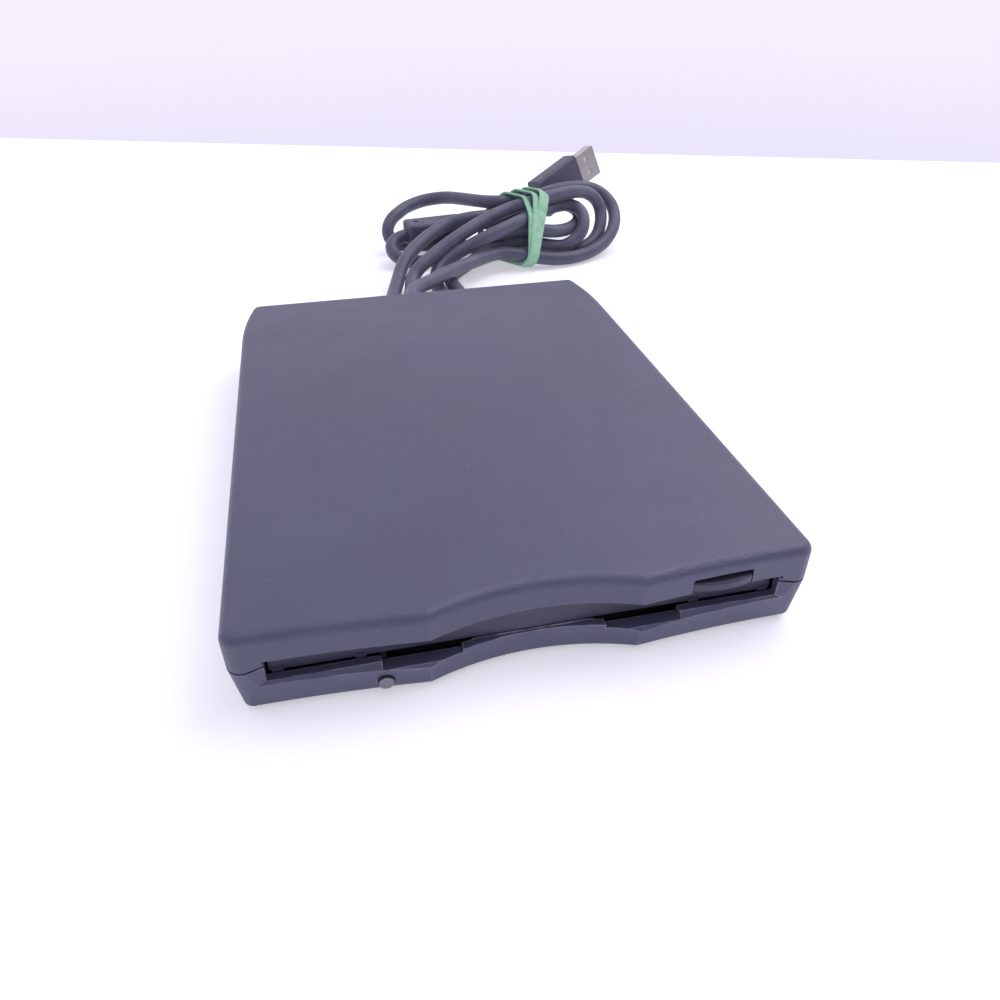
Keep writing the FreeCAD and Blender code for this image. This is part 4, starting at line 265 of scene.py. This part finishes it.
@dataclass(frozen=True)
class SparkedPlastic(Finish):
    """ABS moulded in a spark-eroded tool: fine grain, dust specks, hairline scratches, and pale edges that
    are partly wear and partly a painted highlight.

    The grain is about 0.15 mm on the real shell and is drawn nearly three times as coarse, so that
    it shows. Each scratch direction has its angle in radians and the part of its scratches that
    stays away. The pale edge mark, wear with a painted highlight, grows from hands' to disks'
    strength between the two values of lip_y.
    """

    speck_mm: float = 3.4
    speck_radius_mm: float = 0.2
    speck_absence: float = 0.6
    scratch_mm: float = 9.0
    scratch_radius_mm: float = 0.14
    scratch_stretch: float = 0.012
    scratch_strength: float = 0.35
    scratches: tuple[tuple[float, float], ...] = ((0.5, 0.75), (-0.9, 0.82))
    spot_core: float = 0.4
    spot_strength: float = 0.8
    edge_mm: float = 0.25
    edge_turn: tuple[float, float] = (0.992, 0.93)
    patch_mm: float = 4.0
    patch_span: tuple[float, float] = (0.4, 0.55)
    wear: float = 0.3
    lip_wear_and_highlight: float = 0.3
    lip_y: tuple[float, float] = (-0.0600, -0.0635)
    # Pale colour of the dust specks, the scratches and the edges; on the edges it is partly a painted
    # highlight.
    dust_wear_and_highlight: str = "#9a99a8"

    def spots(self, tree: bpy.types.NodeTree, pitch_mm: float, radius_mm: float, absence: float,
              turn: float = 0.0, stretch: float = 1.0) -> bpy.types.NodeSocket:
        """Scatters small spots, which a stretch below 1 draws out into straight scratches.

        Args:
            tree: Node tree of the material.
            pitch_mm: Usual distance between spots.
            radius_mm: Radius of a spot.
            absence: Part of the spots that stays away, from 0 to 1.
            turn: Direction of the long side in radians.
            stretch: Scale of the pattern along the long side.

        Returns:
            1 on a strong spot and 0 between the spots.
        """
        place = add_node(tree, "ShaderNodeTexCoord").outputs["Object"]
        turned = add_node(tree, "ShaderNodeMapping",
                          {"Rotation": (0.0, 0.0, turn), "Scale": (stretch, 1.0, 1.0)}, {"Vector": place})
        cells = add_node(tree, "ShaderNodeTexVoronoi", {"Scale": 1 / (pitch_mm * MM)},
                         {"Vector": turned.outputs["Vector"]})
        size = radius_mm / pitch_mm
        near = add_node(tree, "ShaderNodeMapRange", {"From Min": size, "From Max": self.spot_core * size},
                        {"Value": cells.outputs["Distance"]})
        chosen = add_node(tree, "ShaderNodeSeparateColor", links={"Color": cells.outputs["Color"]})
        some = add_node(tree, "ShaderNodeMapRange",
                        {"From Min": absence, "From Max": 1.0, "To Max": self.spot_strength},
                        {"Value": chosen.outputs["Red"]})
        return add_node(tree, "ShaderNodeMath", links={0: near.outputs["Result"], 1: some.outputs["Result"]},
                        operation="MULTIPLY").outputs["Value"]

    def worn_and_highlit_edges(self, tree: bpy.types.NodeTree) -> bpy.types.NodeSocket:
        """Finds the sharp edges and paints them pale: wear from hands and disks, with a painted highlight
        that is strongest at the slot's lip.

        Args:
            tree: Node tree of the material.

        Returns:
            The strength of the pale edge mark, wear and painted highlight together, from 0 to 1.
        """
        rounded = add_node(tree, "ShaderNodeBevel", {"Radius": self.edge_mm * MM}, samples=4)
        flat = add_node(tree, "ShaderNodeNewGeometry").outputs["Normal"]
        turn = add_node(tree, "ShaderNodeVectorMath", links={0: rounded.outputs["Normal"], 1: flat},
                        operation="DOT_PRODUCT")
        edge = add_node(tree, "ShaderNodeMapRange",
                        {"From Min": self.edge_turn[0], "From Max": self.edge_turn[1]},
                        {"Value": turn.outputs["Value"]}).outputs["Result"]
        place = add_node(tree, "ShaderNodeSeparateXYZ",
                         links={"Vector": add_node(tree, "ShaderNodeTexCoord").outputs["Object"]})
        # Edge strength grows towards the slot's lip, where the pale mark is wear and a painted highlight.
        rubbed_and_highlit = add_node(tree, "ShaderNodeMapRange", {"From Min": self.lip_y[0], "From Max": self.lip_y[1],
                                                       "To Min": self.wear, "To Max": self.lip_wear_and_highlight},
                          {"Value": place.outputs["Y"]}).outputs["Result"]
        cloud = self.noise(tree, self.patch_mm, detail=3.0, lay=Lay.EVEN)
        patchy = add_node(tree, "ShaderNodeMapRange",
                          {"From Min": self.patch_span[0], "From Max": self.patch_span[1]},
                          {"Value": cloud}).outputs["Result"]
        worn = add_node(tree, "ShaderNodeMath", links={0: edge, 1: patchy}, operation="MULTIPLY")
        return add_node(tree, "ShaderNodeMath", links={0: worn.outputs["Value"], 1: rubbed_and_highlit},
                        operation="MULTIPLY").outputs["Value"]

    def colour(self, tree: bpy.types.NodeTree) -> bpy.types.NodeSocket:
        """Lays dust, scratches and pale edges, which are wear and painted highlight, over the mottled
        plastic.

        Args:
            tree: Node tree of the material.

        Returns:
            The colour of the surface.
        """
        marks = self.spots(tree, self.speck_mm, self.speck_radius_mm, self.speck_absence)
        for turn, absence in self.scratches:
            drawn = self.spots(tree, self.scratch_mm, self.scratch_radius_mm, absence, turn,
                               self.scratch_stretch)
            line = add_node(tree, "ShaderNodeMath", {1: self.scratch_strength}, {0: drawn},
                            operation="MULTIPLY")
            marks = add_node(tree, "ShaderNodeMath", links={0: line.outputs["Value"], 1: marks},
                             operation="MAXIMUM").outputs["Value"]
        marks = add_node(tree, "ShaderNodeMath", links={0: marks, 1: self.worn_and_highlit_edges(tree)},
                         operation="MAXIMUM").outputs["Value"]
        # Dust, scratches and edges are mixed to the pale colour; on the edges this is partly a painted
        # highlight.
        blend = add_node(tree, "ShaderNodeMix", {COLOUR_B: linear(self.dust_wear_and_highlight)},
                         {0: marks, COLOUR_A: super().colour(tree)}, data_type="RGBA")
        return blend.outputs[MIXTURE]


@dataclass(frozen=True)
class SmokedLens(Finish):
    """Smoked polycarbonate rod end: frosted in the middle, with a painted shade at its rim where it meets
    its hole.
    """

    centre: Point = (-0.0267, 0.0, 0.0033)
    rim_mm: float = 1.32
    rim_soft_mm: float = 0.08
    # Colour of the painted shade in the gap round the lens.
    rim: str = "#20202a"

    def colour(self, tree: bpy.types.NodeTree) -> bpy.types.NodeSocket:
        """Paints shade on the lens outside its rim radius, where it meets its hole.

        Args:
            tree: Node tree of the material.

        Returns:
            The colour of the surface.
        """
        place = add_node(tree, "ShaderNodeTexCoord").outputs["Object"]
        off = add_node(tree, "ShaderNodeVectorMath", {1: self.centre}, {0: place}, operation="SUBTRACT")
        flat = add_node(tree, "ShaderNodeVectorMath", {1: (1.0, 0.0, 1.0)}, {0: off.outputs["Vector"]},
                        operation="MULTIPLY")
        reach = add_node(tree, "ShaderNodeVectorMath", links={0: flat.outputs["Vector"]}, operation="LENGTH")
        # Painted shade: darkens the lens from its rim radius outwards.
        rim = add_node(tree, "ShaderNodeMapRange",
                       {"From Min": (self.rim_mm - self.rim_soft_mm) * MM, "From Max": self.rim_mm * MM},
                       {"Value": reach.outputs["Value"]}).outputs["Result"]
        blend = add_node(tree, "ShaderNodeMix", {COLOUR_B: linear(self.rim)},
                         {0: rim, COLOUR_A: super().colour(tree)}, data_type="RGBA")
        return blend.outputs[MIXTURE]


@dataclass(frozen=True)
class CircuitBoard(Finish):
    """Green solder mask over copper tracks that run 0.6 mm apart and show through it as lighter lines."""

    track_mm: float = 0.6
    track: str = "#1b4a31"
    track_share: float = 0.12
    track_soft: float = 0.1
    block_length: float = 6.0

    def colour(self, tree: bpy.types.NodeTree) -> bpy.types.NodeSocket:
        """Draws blocks of tracks under the mask.

        Args:
            tree: Node tree of the material.

        Returns:
            The colour of the surface.
        """
        place = add_node(tree, "ShaderNodeTexCoord").outputs["Object"]
        pattern = {"Color1": linear(self.base), "Color2": linear(self.mottle), "Mortar": linear(self.track),
                   "Scale": 1 / (self.track_mm * MM), "Mortar Size": self.track_share,
                   "Mortar Smooth": self.track_soft, "Brick Width": self.block_length, "Row Height": 1.0}
        tracks = add_node(tree, "ShaderNodeTexBrick", pattern, {"Vector": place})
        return tracks.outputs["Color"]


@dataclass(frozen=True)
class Winding(Finish):
    """Enamelled copper wire wound in a flat coil, with turns 0.25 mm apart.

    The rings of a wave texture stand ring_pitch metres apart at a scale of 1.
    """

    wire_mm: float = 0.25
    ring_pitch: float = 0.314
    wobble: float = 0.3
    ridge_strength: float = 0.8

    def relief(self, tree: bpy.types.NodeTree) -> bpy.types.NodeSocket:
        """Raises the turns of wire as ridges.

        Args:
            tree: Node tree of the material.

        Returns:
            The normal of the surface.
        """
        place = add_node(tree, "ShaderNodeTexCoord").outputs["Object"]
        turns = add_node(tree, "ShaderNodeTexWave",
                         {"Scale": self.ring_pitch / (self.wire_mm * MM), "Distortion": self.wobble},
                         {"Vector": place}, wave_type="RINGS", rings_direction="Z")
        return add_node(tree, "ShaderNodeBump",
                        {"Strength": self.ridge_strength, "Distance": self.grain_depth_mm * MM},
                        {"Height": turns.outputs["Fac"]}).outputs["Normal"]


# Charcoal ABS of the upper shell: dull, with a fine sparkle of tool grain and some dust on top.
SHELL = SparkedPlastic("sparked_charcoal_abs", "#53556c", "#585a72", 28.0, 0.40, 0.04, 0.42, 0.12)
# The same ABS below: less dust, a flatter grain, and edges painted pale at the lip where disks slide in,
# partly as wear and partly as a painted highlight.
LOWER_SHELL = SparkedPlastic("moulded_charcoal_abs", "#555770", "#5b5d77", 24.0, 0.46, 0.05, 0.42, 0.07,
                             speck_mm=5.0, edge_mm=0.45, lip_wear_and_highlight=0.95)
# The door and button are smoother mouldings, so they catch a soft highlight along their edges.
# Their base is darker than the shells' ABS: a painted shade of the slot and window that the door and button
# sit in.
SATIN_PLASTIC = Finish("satin_charcoal_abs", "#3b3c50", "#434458", 9.0, 0.42, 0.07, 0.2, 0.012)
# Soft moulded PVC of the boot and the feet, with a bloomed, slightly greasy skin: soft, dull highlights.
BOOT_PVC = Finish("moulded_boot_pvc", "#36363f", "#3f3f49", 5.0, 0.5, 0.08, 0.25, 0.02, sheen=0.1)
# The lead's jacket is extruded: dull satin with faint die lines and a dusty bloom.
JACKET = Finish("extruded_pvc_jacket", "#56576b", "#616277", 7.0, 0.46, 0.09, 0.4, 0.02, sheen=0.15)
# The plug's grip and the suppressor block are the same PVC, moulded with a fine matte grain.
OVERMOULD = Finish("overmoulded_pvc", "#505063", "#5a5a6e", 6.0, 0.5, 0.07, 0.3, 0.03, sheen=0.1)
# Moulded black parts have a fine matte grain of about 0.3 mm.
MOULDING = Finish("matte_black_moulding", "#3a3a48", "#434352", 8.0, 0.55, 0.06, 0.3, 0.025)
# Pale green band: soft latex whose skin is dusted with talc, so it is chalky and mottled.
LATEX = Finish("talced_green_latex", "#97d3a9", "#b6e8c4", 2.5, 0.55, 0.1, 0.5, 0.05, sheen=0.25)
# Zinc-plated sheet: rolled along Y, so its sheen is drawn out in fine lines 0.4 mm apart.
ZINC = Finish("rolled_zinc_sheet", "#b4b6bb", "#a2a4ab", 14.0, 0.34, 0.08, 0.4, 0.006, Lay.ALONG_Y, 1.0)
# Nickel plate over pressed steel: bright and slightly hazy where it was handled.
NICKEL = Finish("nickel_plate", "#c8c5c3", "#bbb8b6", 4.0, 0.3, 0.03, 0.5, 0.002, Lay.EVEN, 1.0)
# Ground rails and pins: a fine lay across the axis from the wheel.
GROUND = Finish("ground_steel", "#c4c6ca", "#b0b2b7", 5.0, 0.2, 0.05, 0.2, 0.003, Lay.ALONG_X, 1.0)
# Black oxide on the screws: dark, with a dull metallic sheen worn at the recess.
OXIDE = Finish("black_oxide_steel", "#2e2e33", "#47474d", 1.5, 0.38, 0.1, 0.25, 0.01, Lay.EVEN, 1.0)
# Drawn spring wire: streaked along the wire and a little darker than plate.
WIRE = Finish("drawn_spring_wire", "#a7a59f", "#8e8c87", 1.2, 0.3, 0.08, 0.15, 0.004, Lay.ALONG_Z, 1.0)
# Smoked polycarbonate of the light pipe: grey, translucent and faintly frosted, with a painted shade round
# its rim.
LENS = SmokedLens("smoked_polycarbonate", "#a3a4b6", "#adaebf", 2.6, 0.28, 0.05, 0.3, 0.01, ior=1.585,
                  transmission=0.45)
# Water-clear epoxy of the indicator, grey when unlit, with slight flow lines.
EPOXY = Finish("clear_epoxy", "#7c807c", "#8c908b", 1.0, 0.18, 0.04, 0.4, 0.005, transmission=0.4, ior=1.54)
# Glass laminate under green mask: glossy, with the tracks showing as lighter lines.
BOARD = CircuitBoard("masked_glass_laminate", "#0f2b1d", "#0d261a", 10.0, 0.3, 0.05, 0.5, 0.01, coat=0.3)
# Enamelled copper wire: warm and glossy, ridged by its turns.
COPPER = Winding("enamelled_copper", "#b8703f", "#a3602f", 2.0, 0.3, 0.06, 0.25, 0.05, Lay.EVEN, 1.0)
# Sintered bronze: open grain of about 0.1 mm, drawn at twice that so that it shows, dulled by oil.
BRONZE = Finish("sintered_bronze", "#b39257", "#9c7d48", 1.5, 0.5, 0.1, 0.2, 0.015, Lay.EVEN, 1.0)
# Lapped ceramic of the heads: ivory, hard and glossy with a faint cloud.
CERAMIC = Finish("lapped_ceramic", "#d9d6c8", "#cbc7b6", 2.0, 0.16, 0.04, 0.3, 0.002, coat=0.4)
# Natural acetal of the plungers and the plug's tongue: milky white and waxy.
ACETAL = Finish("natural_acetal", "#dcdcd8", "#d0d0cc", 3.0, 0.4, 0.06, 0.25, 0.008)
# Pressed aluminium of the head arm: bright, with a rolled lay along Y.
ALLOY = Finish("pressed_aluminium", "#c9cacf", "#b9bac0", 6.0, 0.3, 0.06, 0.3, 0.005, Lay.ALONG_Y, 1.0)
# Hard gold on the contacts: bright with fine wiping marks along them.
GOLD = Finish("hard_gold_plate", "#d9b25a", "#c99f47", 1.5, 0.24, 0.06, 0.2, 0.003, Lay.ALONG_X, 1.0)
# Polyimide film of the ribbon: amber and glossy with slight creases.
FILM = Finish("polyimide_film", "#b9832f", "#a8742a", 3.0, 0.25, 0.06, 1.2, 0.02, coat=0.3)

NODE_FINISHES: dict[Finish, tuple[str, ...]] = {
    SHELL: ("upper_case",),
    LOWER_SHELL: ("lower_case",),
    SATIN_PLASTIC: ("slot_door", "eject_button"),
    BOOT_PVC: ("rubber_feet", "strain_relief"),
    JACKET: ("usb_cord", "cord_hank"),
    OVERMOULD: ("usb_plug_body", "cord_sleeve"),
    MOULDING: ("control_chips", "usb_chips", "disk_switches", "head_carriage"),
    LATEX: ("cord_band",),
    ZINC: ("drive_chassis", "drive_cover", "slider_plate", "disk_carrier", "stepper_bracket"),
    NICKEL: ("usb_plug_shell", "stepper_motor", "spindle_rotor", "spindle_hub"),
    GROUND: ("guide_rails", "spindle_shaft", "drive_pin", "lead_screw", "carrier_pins", "arm_pivot_pin",
             "follower_pin", "shutter_lever"),
    OXIDE: ("case_screws", "drive_screws"),
    WIRE: ("slider_springs", "door_spring", "lever_spring"),
    LENS: ("led_light_pipe",),
    EPOXY: ("activity_led",),
    BOARD: ("control_board", "usb_board", "sensor_board", "motor_board"),
    COPPER: ("stator_coils",),
    BRONZE: ("spindle_bush",),
    CERAMIC: ("lower_head", "upper_head"),
    ACETAL: ("usb_plug_tongue", "write_protect_plunger", "density_plunger", "disk_in_plunger"),
    ALLOY: ("upper_head_arm",),
    GOLD: ("usb_plug_contacts",),
    FILM: ("board_ribbon",),
}


class Wardrobe:
    """Builds each finish once and dresses pieces with it."""

    def __init__(self) -> None:
        """Starts with nothing built."""
        self.built: dict[Finish, bpy.types.Material] = {}

    def dress(self, piece: bpy.types.Object, finish: Finish) -> None:
        """Gives a piece one finish.

        Args:
            piece: Object to dress.
            finish: Finish that it gets.
        """
        if finish not in self.built:
            self.built[finish] = finish.build()
        piece.data.materials.clear()
        piece.data.materials.append(self.built[finish])

    def dress_frame(self) -> int:
        """Dresses every node of the frame.

        Returns:
            The number of nodes dressed.
        """
        for finish, names in NODE_FINISHES.items():
            for name in names:
                self.dress(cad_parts[name], finish)
        return sum(len(names) for names in NODE_FINISHES.values())


@dataclass
class UsbLead:
    """Free lead: one smooth line from the boot through the bundle to the plug."""

    diameter: float = 0.005
    length: float = 1.03
    exit: Point = LEAD_POINTS[0]
    pieces: tuple[str, ...] = ("strain_relief", "cord_sleeve", "usb_plug_body", "usb_plug_shell",
                               "usb_plug_tongue", "usb_plug_contacts")
    steps: int = 8
    round_steps: int = 5
    order: int = 3

    def line(self, name: str, thick: bool) -> bpy.types.Object:
        """Makes the lead's curve.

        Args:
            name: Name of the object.
            thick: Whether the curve gets the jacket's round section.

        Returns:
            The curve object.
        """
        curve = bpy.data.curves.new(name, "CURVE")
        curve.dimensions = "3D"
        curve.resolution_u = self.steps
        spline = curve.splines.new("NURBS")
        spline.points.add(len(LEAD_POINTS) - 1)
        for point, place in zip(spline.points, LEAD_POINTS):
            point.co = (*place, 1.0)
        spline.order_u = self.order
        spline.use_endpoint_u = True
        if thick:
            curve.bevel_depth = self.diameter / 2
            curve.bevel_resolution = self.round_steps
            curve.use_fill_caps = True
        return bpy.data.objects.new(name, curve)

    def centreline(self) -> list[Vector]:
        """Reads the smooth centreline of the lead.

        Returns:
            Points along the line, in order.
        """
        probe = self.line("lead_probe", False)
        mesh = bpy.data.meshes.new_from_object(probe)
        points = [v.co.copy() for v in mesh.vertices]
        bpy.data.meshes.remove(mesh)
        bpy.data.objects.remove(probe)
        return points

    def build(self, wardrobe: Wardrobe, band: bpy.types.Object) -> bpy.types.Object:
        """Args:
            wardrobe: Holder of the finishes.
            band: Rubber band that holds the bundle. Not used.

        Returns:
            The lead's object.
        """
        lead = self.line("usb_lead", True)
        bpy.context.scene.collection.objects.link(lead)
        wardrobe.dress(lead, JACKET)
        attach(lead, "housing")
        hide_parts("usb_cord", "cord_hank")
        return lead


@dataclass(frozen=True)
class Wrap:
    """One turn of the band: a flat strip stretched round the bundle in its own plane."""

    middle: Point
    facing: Point
    width: float
    gap: float


@dataclass
class RubberBand:
    """Latex band doubled round the waist of the bundle."""

    thickness: float = 0.0009
    reach: float = 0.024
    floor: float = 0.0002
    samples: int = 72
    rim_points: int = 24
    strips: int = 3
    smoothing: float = 0.3
    rounding: int = 2
    wraps: tuple[Wrap, ...] = (
        Wrap((0.0478, 0.1455, 0.0130), (0.86, 0.40, -0.38), 0.0034, 0.0003),
        Wrap((0.0503, 0.1455, 0.0130), (0.88, 0.30, -0.46), 0.0034, 0.0009),
        Wrap((0.0537, 0.1455, 0.0130), (0.91, 0.18, -0.52), 0.0052, 0.0005),
    )

    def outline(self, wrap: Wrap, line: list[Vector], radius: float) -> list[Vector]:
        """Finds the closed line that a stretched strip takes round the strands it crosses.

        Args:
            wrap: The turn of the band.
            line: Centreline of the lead.
            radius: Radius of the lead.

        Returns:
            Evenly spaced points of the closed line.
        """
        middle, normal = Vector(wrap.middle), Vector(wrap.facing).normalized()
        across = normal.cross(Vector((0.0, 0.0, 1.0))).normalized()
        upward = across.cross(normal)
        flat = []
        for before, after in zip(line, line[1:]):
            here, there = (before - middle).dot(normal), (after - middle).dot(normal)
            if here * there > 0 or here == there:
                continue
            crossing = before.lerp(after, here / (here - there)) - middle
            if crossing.length > self.reach:
                continue
            for index in range(self.rim_points):
                angle = math.tau * index / self.rim_points
                rim = radius + wrap.gap
                flat.append((crossing.dot(across) + rim * math.cos(angle),
                             crossing.dot(upward) + rim * math.sin(angle)))
        hull = [Vector(flat[index]) for index in convex_hull_2d(flat)]
        return [middle + across * p.x + upward * p.y for p in self.even(hull)]

    def even(self, hull: list[Vector]) -> list[Vector]:
        """Spreads points evenly along a closed flat line.

        Args:
            hull: Corners of the line.

        Returns:
            As many points as the band has samples.
        """
        corners = hull + hull[:1]
        lengths = [(b - a).length for a, b in zip(corners, corners[1:])]
        step = sum(lengths) / self.samples
        points, done, leg = [], 0.0, 0
        for index in range(self.samples):
            while done + lengths[leg] < index * step:
                done += lengths[leg]
                leg += 1
            points.append(corners[leg].lerp(corners[leg + 1], (index * step - done) / lengths[leg]))
        return points

    def build(self, wardrobe: Wardrobe, line: list[Vector], radius: float) -> bpy.types.Object:
        """Builds the band's turns as strips with rounded edges.

        Args:
            wardrobe: Holder of the finishes.
            line: Centreline of the lead.
            radius: Radius of the lead.

        Returns:
            The band's object.
        """
        bm = bmesh.new()
        for wrap in self.wraps:
            half = Vector(wrap.facing).normalized() * wrap.width / 2
            outline = self.outline(wrap, line, radius)
            rings = [[bm.verts.new(point - half + half * 2 * index / self.strips) for point in outline]
                     for index in range(self.strips + 1)]
            for low, high in zip(rings, rings[1:]):
                for corners in zip(low, low[1:] + low[:1], high[1:] + high[:1], high):
                    bm.faces.new(corners)
        bmesh.ops.recalc_face_normals(bm, faces=bm.faces)
        bmesh.ops.smooth_vert(bm, verts=bm.verts, factor=self.smoothing, use_axis_x=True, use_axis_y=True,
                              use_axis_z=True)
        for vert in bm.verts:
            vert.co.z = max(vert.co.z, self.floor + self.thickness)
        mesh = bpy.data.meshes.new("rubber_band")
        bm.to_mesh(mesh)
        bm.free()
        band = bpy.data.objects.new("rubber_band", mesh)
        bpy.context.scene.collection.objects.link(band)
        wall = band.modifiers.new("wall", "SOLIDIFY")
        wall.thickness = self.thickness
        wall.offset = 1.0
        rounded = band.modifiers.new("rounded", "SUBSURF")
        rounded.levels = rounded.render_levels = self.rounding
        mesh.polygons.foreach_set("use_smooth", [True] * len(mesh.polygons))
        wardrobe.dress(band, LATEX)
        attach(band, "housing")
        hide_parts("cord_band")
        return band


@dataclass(frozen=True)
class Lamp:
    """Soft square lamp: where it hangs, its power in watts and whether shiny faces show it."""

    name: str
    place: Point
    power: float
    mirrored: bool


@dataclass
class Studio:
    """White table, pale lilac room behind it, soft lamps and the camera.

    The room gives its full light from behind the drive and the near share from the camera's side,
    and it fades between the two values of room_y. The wall fades between those of wall_z.
    """

    table: tuple[Point, ...] = (
        (-1.2, -1.2, 0.0), (1.4, -1.2, 0.0), (1.4, -0.1524, 0.0), (-1.2, 0.8287, 0.0))
    table_colour: str = "#f7f7fa"
    table_lift: tuple[float, float, float, float] = (0.42, 0.41, 0.43, 1.0)
    lamps: tuple[Lamp, ...] = (
        Lamp("window", (0.62, 0.3, 0.88), 4.3, True),
        Lamp("ceiling", (0.2, -0.15, 1.0), 1.3, True),
        Lamp("front_panel", (-0.1, -1.0, 0.12), 5.4, False),
    )
    lamp_side: float = 0.9
    lamp_aim: Point = (0.0, 0.02, 0.0)
    lamp_colour: str = "#faf8ff"
    room_colour: str = "#e0dcf8"
    room_level: float = 0.8
    near_share: float = 0.12
    room_y: tuple[float, float] = (-0.75, 0.1)
    wall_low: str = "#ebe5fc"
    wall_high: str = "#f8f0fe"
    wall_z: tuple[float, float] = (-0.22, -0.06)
    eye: Point = (-0.0282, -0.1652, 0.10755)
    lens_mm: float = 28.62
    sensor_mm: float = 36.0
    nearest: float = 0.005
    azimuth: float = math.radians(-12.80)
    elevation: float = math.radians(35.40)
    roll: float = math.radians(-0.306)

    def background_rays(self, tree: bpy.types.NodeTree) -> bpy.types.NodeSocket:
        """Picks the rays that show a background: straight ones, mirrored ones and ones through glass.

        Args:
            tree: Node tree that asks.

        Returns:
            1 on such a ray and 0 on one that carries light to the drive.
        """
        rays = add_node(tree, "ShaderNodeLightPath").outputs
        mirrored = add_node(tree, "ShaderNodeMath",
                            links={0: rays["Is Glossy Ray"], 1: rays["Is Transmission Ray"]},
                            operation="MAXIMUM").outputs["Value"]
        return add_node(tree, "ShaderNodeMath", links={0: rays["Is Camera Ray"], 1: mirrored},
                        operation="MAXIMUM").outputs["Value"]

    def table_top(self) -> None:
        """Makes the table."""
        mesh = bpy.data.meshes.new("table")
        bm = bmesh.new()
        bm.faces.new([bm.verts.new(corner) for corner in self.table])
        bm.to_mesh(mesh)
        bm.free()
        mesh.materials.append(self.table_paint())
        sheet = bpy.data.objects.new("table", mesh)
        bpy.context.scene.collection.objects.link(sheet)

    def table_paint(self) -> bpy.types.Material:
        """Mixes a matt white paint that looks paper white and still takes the drive's shadow.

        Returns:
            The paint.
        """
        material, tree = fresh_tree("matt_white_table")
        paint = add_node(tree, "ShaderNodeBsdfDiffuse", {"Color": linear(self.table_colour)})
        lift = add_node(tree, "ShaderNodeEmission", {"Color": self.table_lift},
                        {"Strength": self.background_rays(tree)})
        both = add_node(tree, "ShaderNodeAddShader",
                        links={0: paint.outputs["BSDF"], 1: lift.outputs["Emission"]})
        add_node(tree, "ShaderNodeOutputMaterial", links={"Surface": both.outputs["Shader"]})
        return material

    def hang(self, lamp: Lamp) -> None:
        """Hangs one lamp and turns it to the drive.

        Args:
            lamp: The lamp to hang.
        """
        light = bpy.data.lights.new(lamp.name, "AREA")
        light.size = self.lamp_side
        light.energy = lamp.power
        light.color = linear(self.lamp_colour)[:3]
        holder = bpy.data.objects.new(lamp.name, light)
        aim = Vector(self.lamp_aim) - Vector(lamp.place)
        turn = aim.to_track_quat("-Z", "Y").to_matrix().to_4x4()
        holder.matrix_world = Matrix.Translation(lamp.place) @ turn
        holder.visible_glossy = lamp.mirrored
        bpy.context.scene.collection.objects.link(holder)

    def sky(self) -> None:
        """Lights the set, least from the camera's side, and shows a pale lilac wall behind it."""
        world = bpy.data.worlds.new("soft_room")
        world.use_nodes = True
        tree = world.node_tree
        tree.nodes.clear()
        facing = add_node(tree, "ShaderNodeTexCoord").outputs["Generated"]
        bearing = add_node(tree, "ShaderNodeSeparateXYZ", links={"Vector": facing}).outputs
        room = add_node(tree, "ShaderNodeMapRange", {"From Min": self.room_y[0], "From Max": self.room_y[1],
                                                     "To Min": self.near_share},
                        {"Value": bearing["Y"]}).outputs["Result"]
        height = add_node(tree, "ShaderNodeMapRange",
                          {"From Min": self.wall_z[0], "From Max": self.wall_z[1]},
                          {"Value": bearing["Z"]}, interpolation_type="SMOOTHSTEP").outputs["Result"]
        colours = {COLOUR_A: linear(self.wall_low), COLOUR_B: linear(self.wall_high)}
        wall = add_node(tree, "ShaderNodeMix", colours, {0: height}, data_type="RGBA").outputs[MIXTURE]
        seen = add_node(tree, "ShaderNodeLightPath").outputs["Is Camera Ray"]
        level = add_node(tree, "ShaderNodeMath", links={0: room, 1: seen}, operation="MAXIMUM")
        part = add_node(tree, "ShaderNodeMath", {1: self.room_level}, {0: room}, operation="MULTIPLY")
        soft = add_node(tree, "ShaderNodeBackground", {"Color": linear(self.room_colour)},
                        {"Strength": part.outputs["Value"]})
        plain = add_node(tree, "ShaderNodeBackground",
                         links={"Color": wall, "Strength": level.outputs["Value"]})
        mix = add_node(tree, "ShaderNodeMixShader",
                       links={0: self.background_rays(tree), 1: soft.outputs["Background"],
                              2: plain.outputs["Background"]})
        add_node(tree, "ShaderNodeOutputWorld", links={"Surface": mix.outputs["Shader"]})
        bpy.context.scene.world = world

    def camera(self) -> None:
        """Sets the camera above the front left of the drive."""
        lens = bpy.data.cameras.new("eye")
        lens.sensor_width = self.sensor_mm
        lens.lens = self.lens_mm
        lens.clip_start = self.nearest
        eye = bpy.data.objects.new("eye", lens)
        back = Vector((math.sin(self.azimuth) * math.cos(self.elevation),
                       -math.cos(self.azimuth) * math.cos(self.elevation), math.sin(self.elevation)))
        right = Vector((math.cos(self.azimuth), math.sin(self.azimuth), 0.0))
        up = back.cross(right)
        tilted_right = right * math.cos(self.roll) + up * math.sin(self.roll)
        tilted_up = up * math.cos(self.roll) - right * math.sin(self.roll)
        turn = Matrix((tilted_right, tilted_up, back)).transposed().to_4x4()
        eye.matrix_world = Matrix.Translation(self.eye) @ turn
        bpy.context.scene.collection.objects.link(eye)
        bpy.context.scene.camera = eye

    def build(self) -> None:
        """Sets the table, the lamps, the room and the camera."""
        self.table_top()
        for lamp in self.lamps:
            self.hang(lamp)
        self.sky()
        self.camera()
        bpy.context.scene.view_settings.view_transform = "Standard"


def main() -> None:
    """Builds the set and every piece in order."""
    logging.basicConfig(level=logging.INFO, format="%(message)s")
    wardrobe = Wardrobe()
    Studio().build()
    LOG.info("dressed %d nodes of the frame", wardrobe.dress_frame())
    lead = UsbLead()
    band = RubberBand().build(wardrobe, lead.centreline(), lead.diameter / 2)
    LOG.info("band: %d faces", len(band.data.polygons))
    LOG.info("lead: %s", lead.build(wardrobe, band).name)


if __name__ == "__main__":
    main()
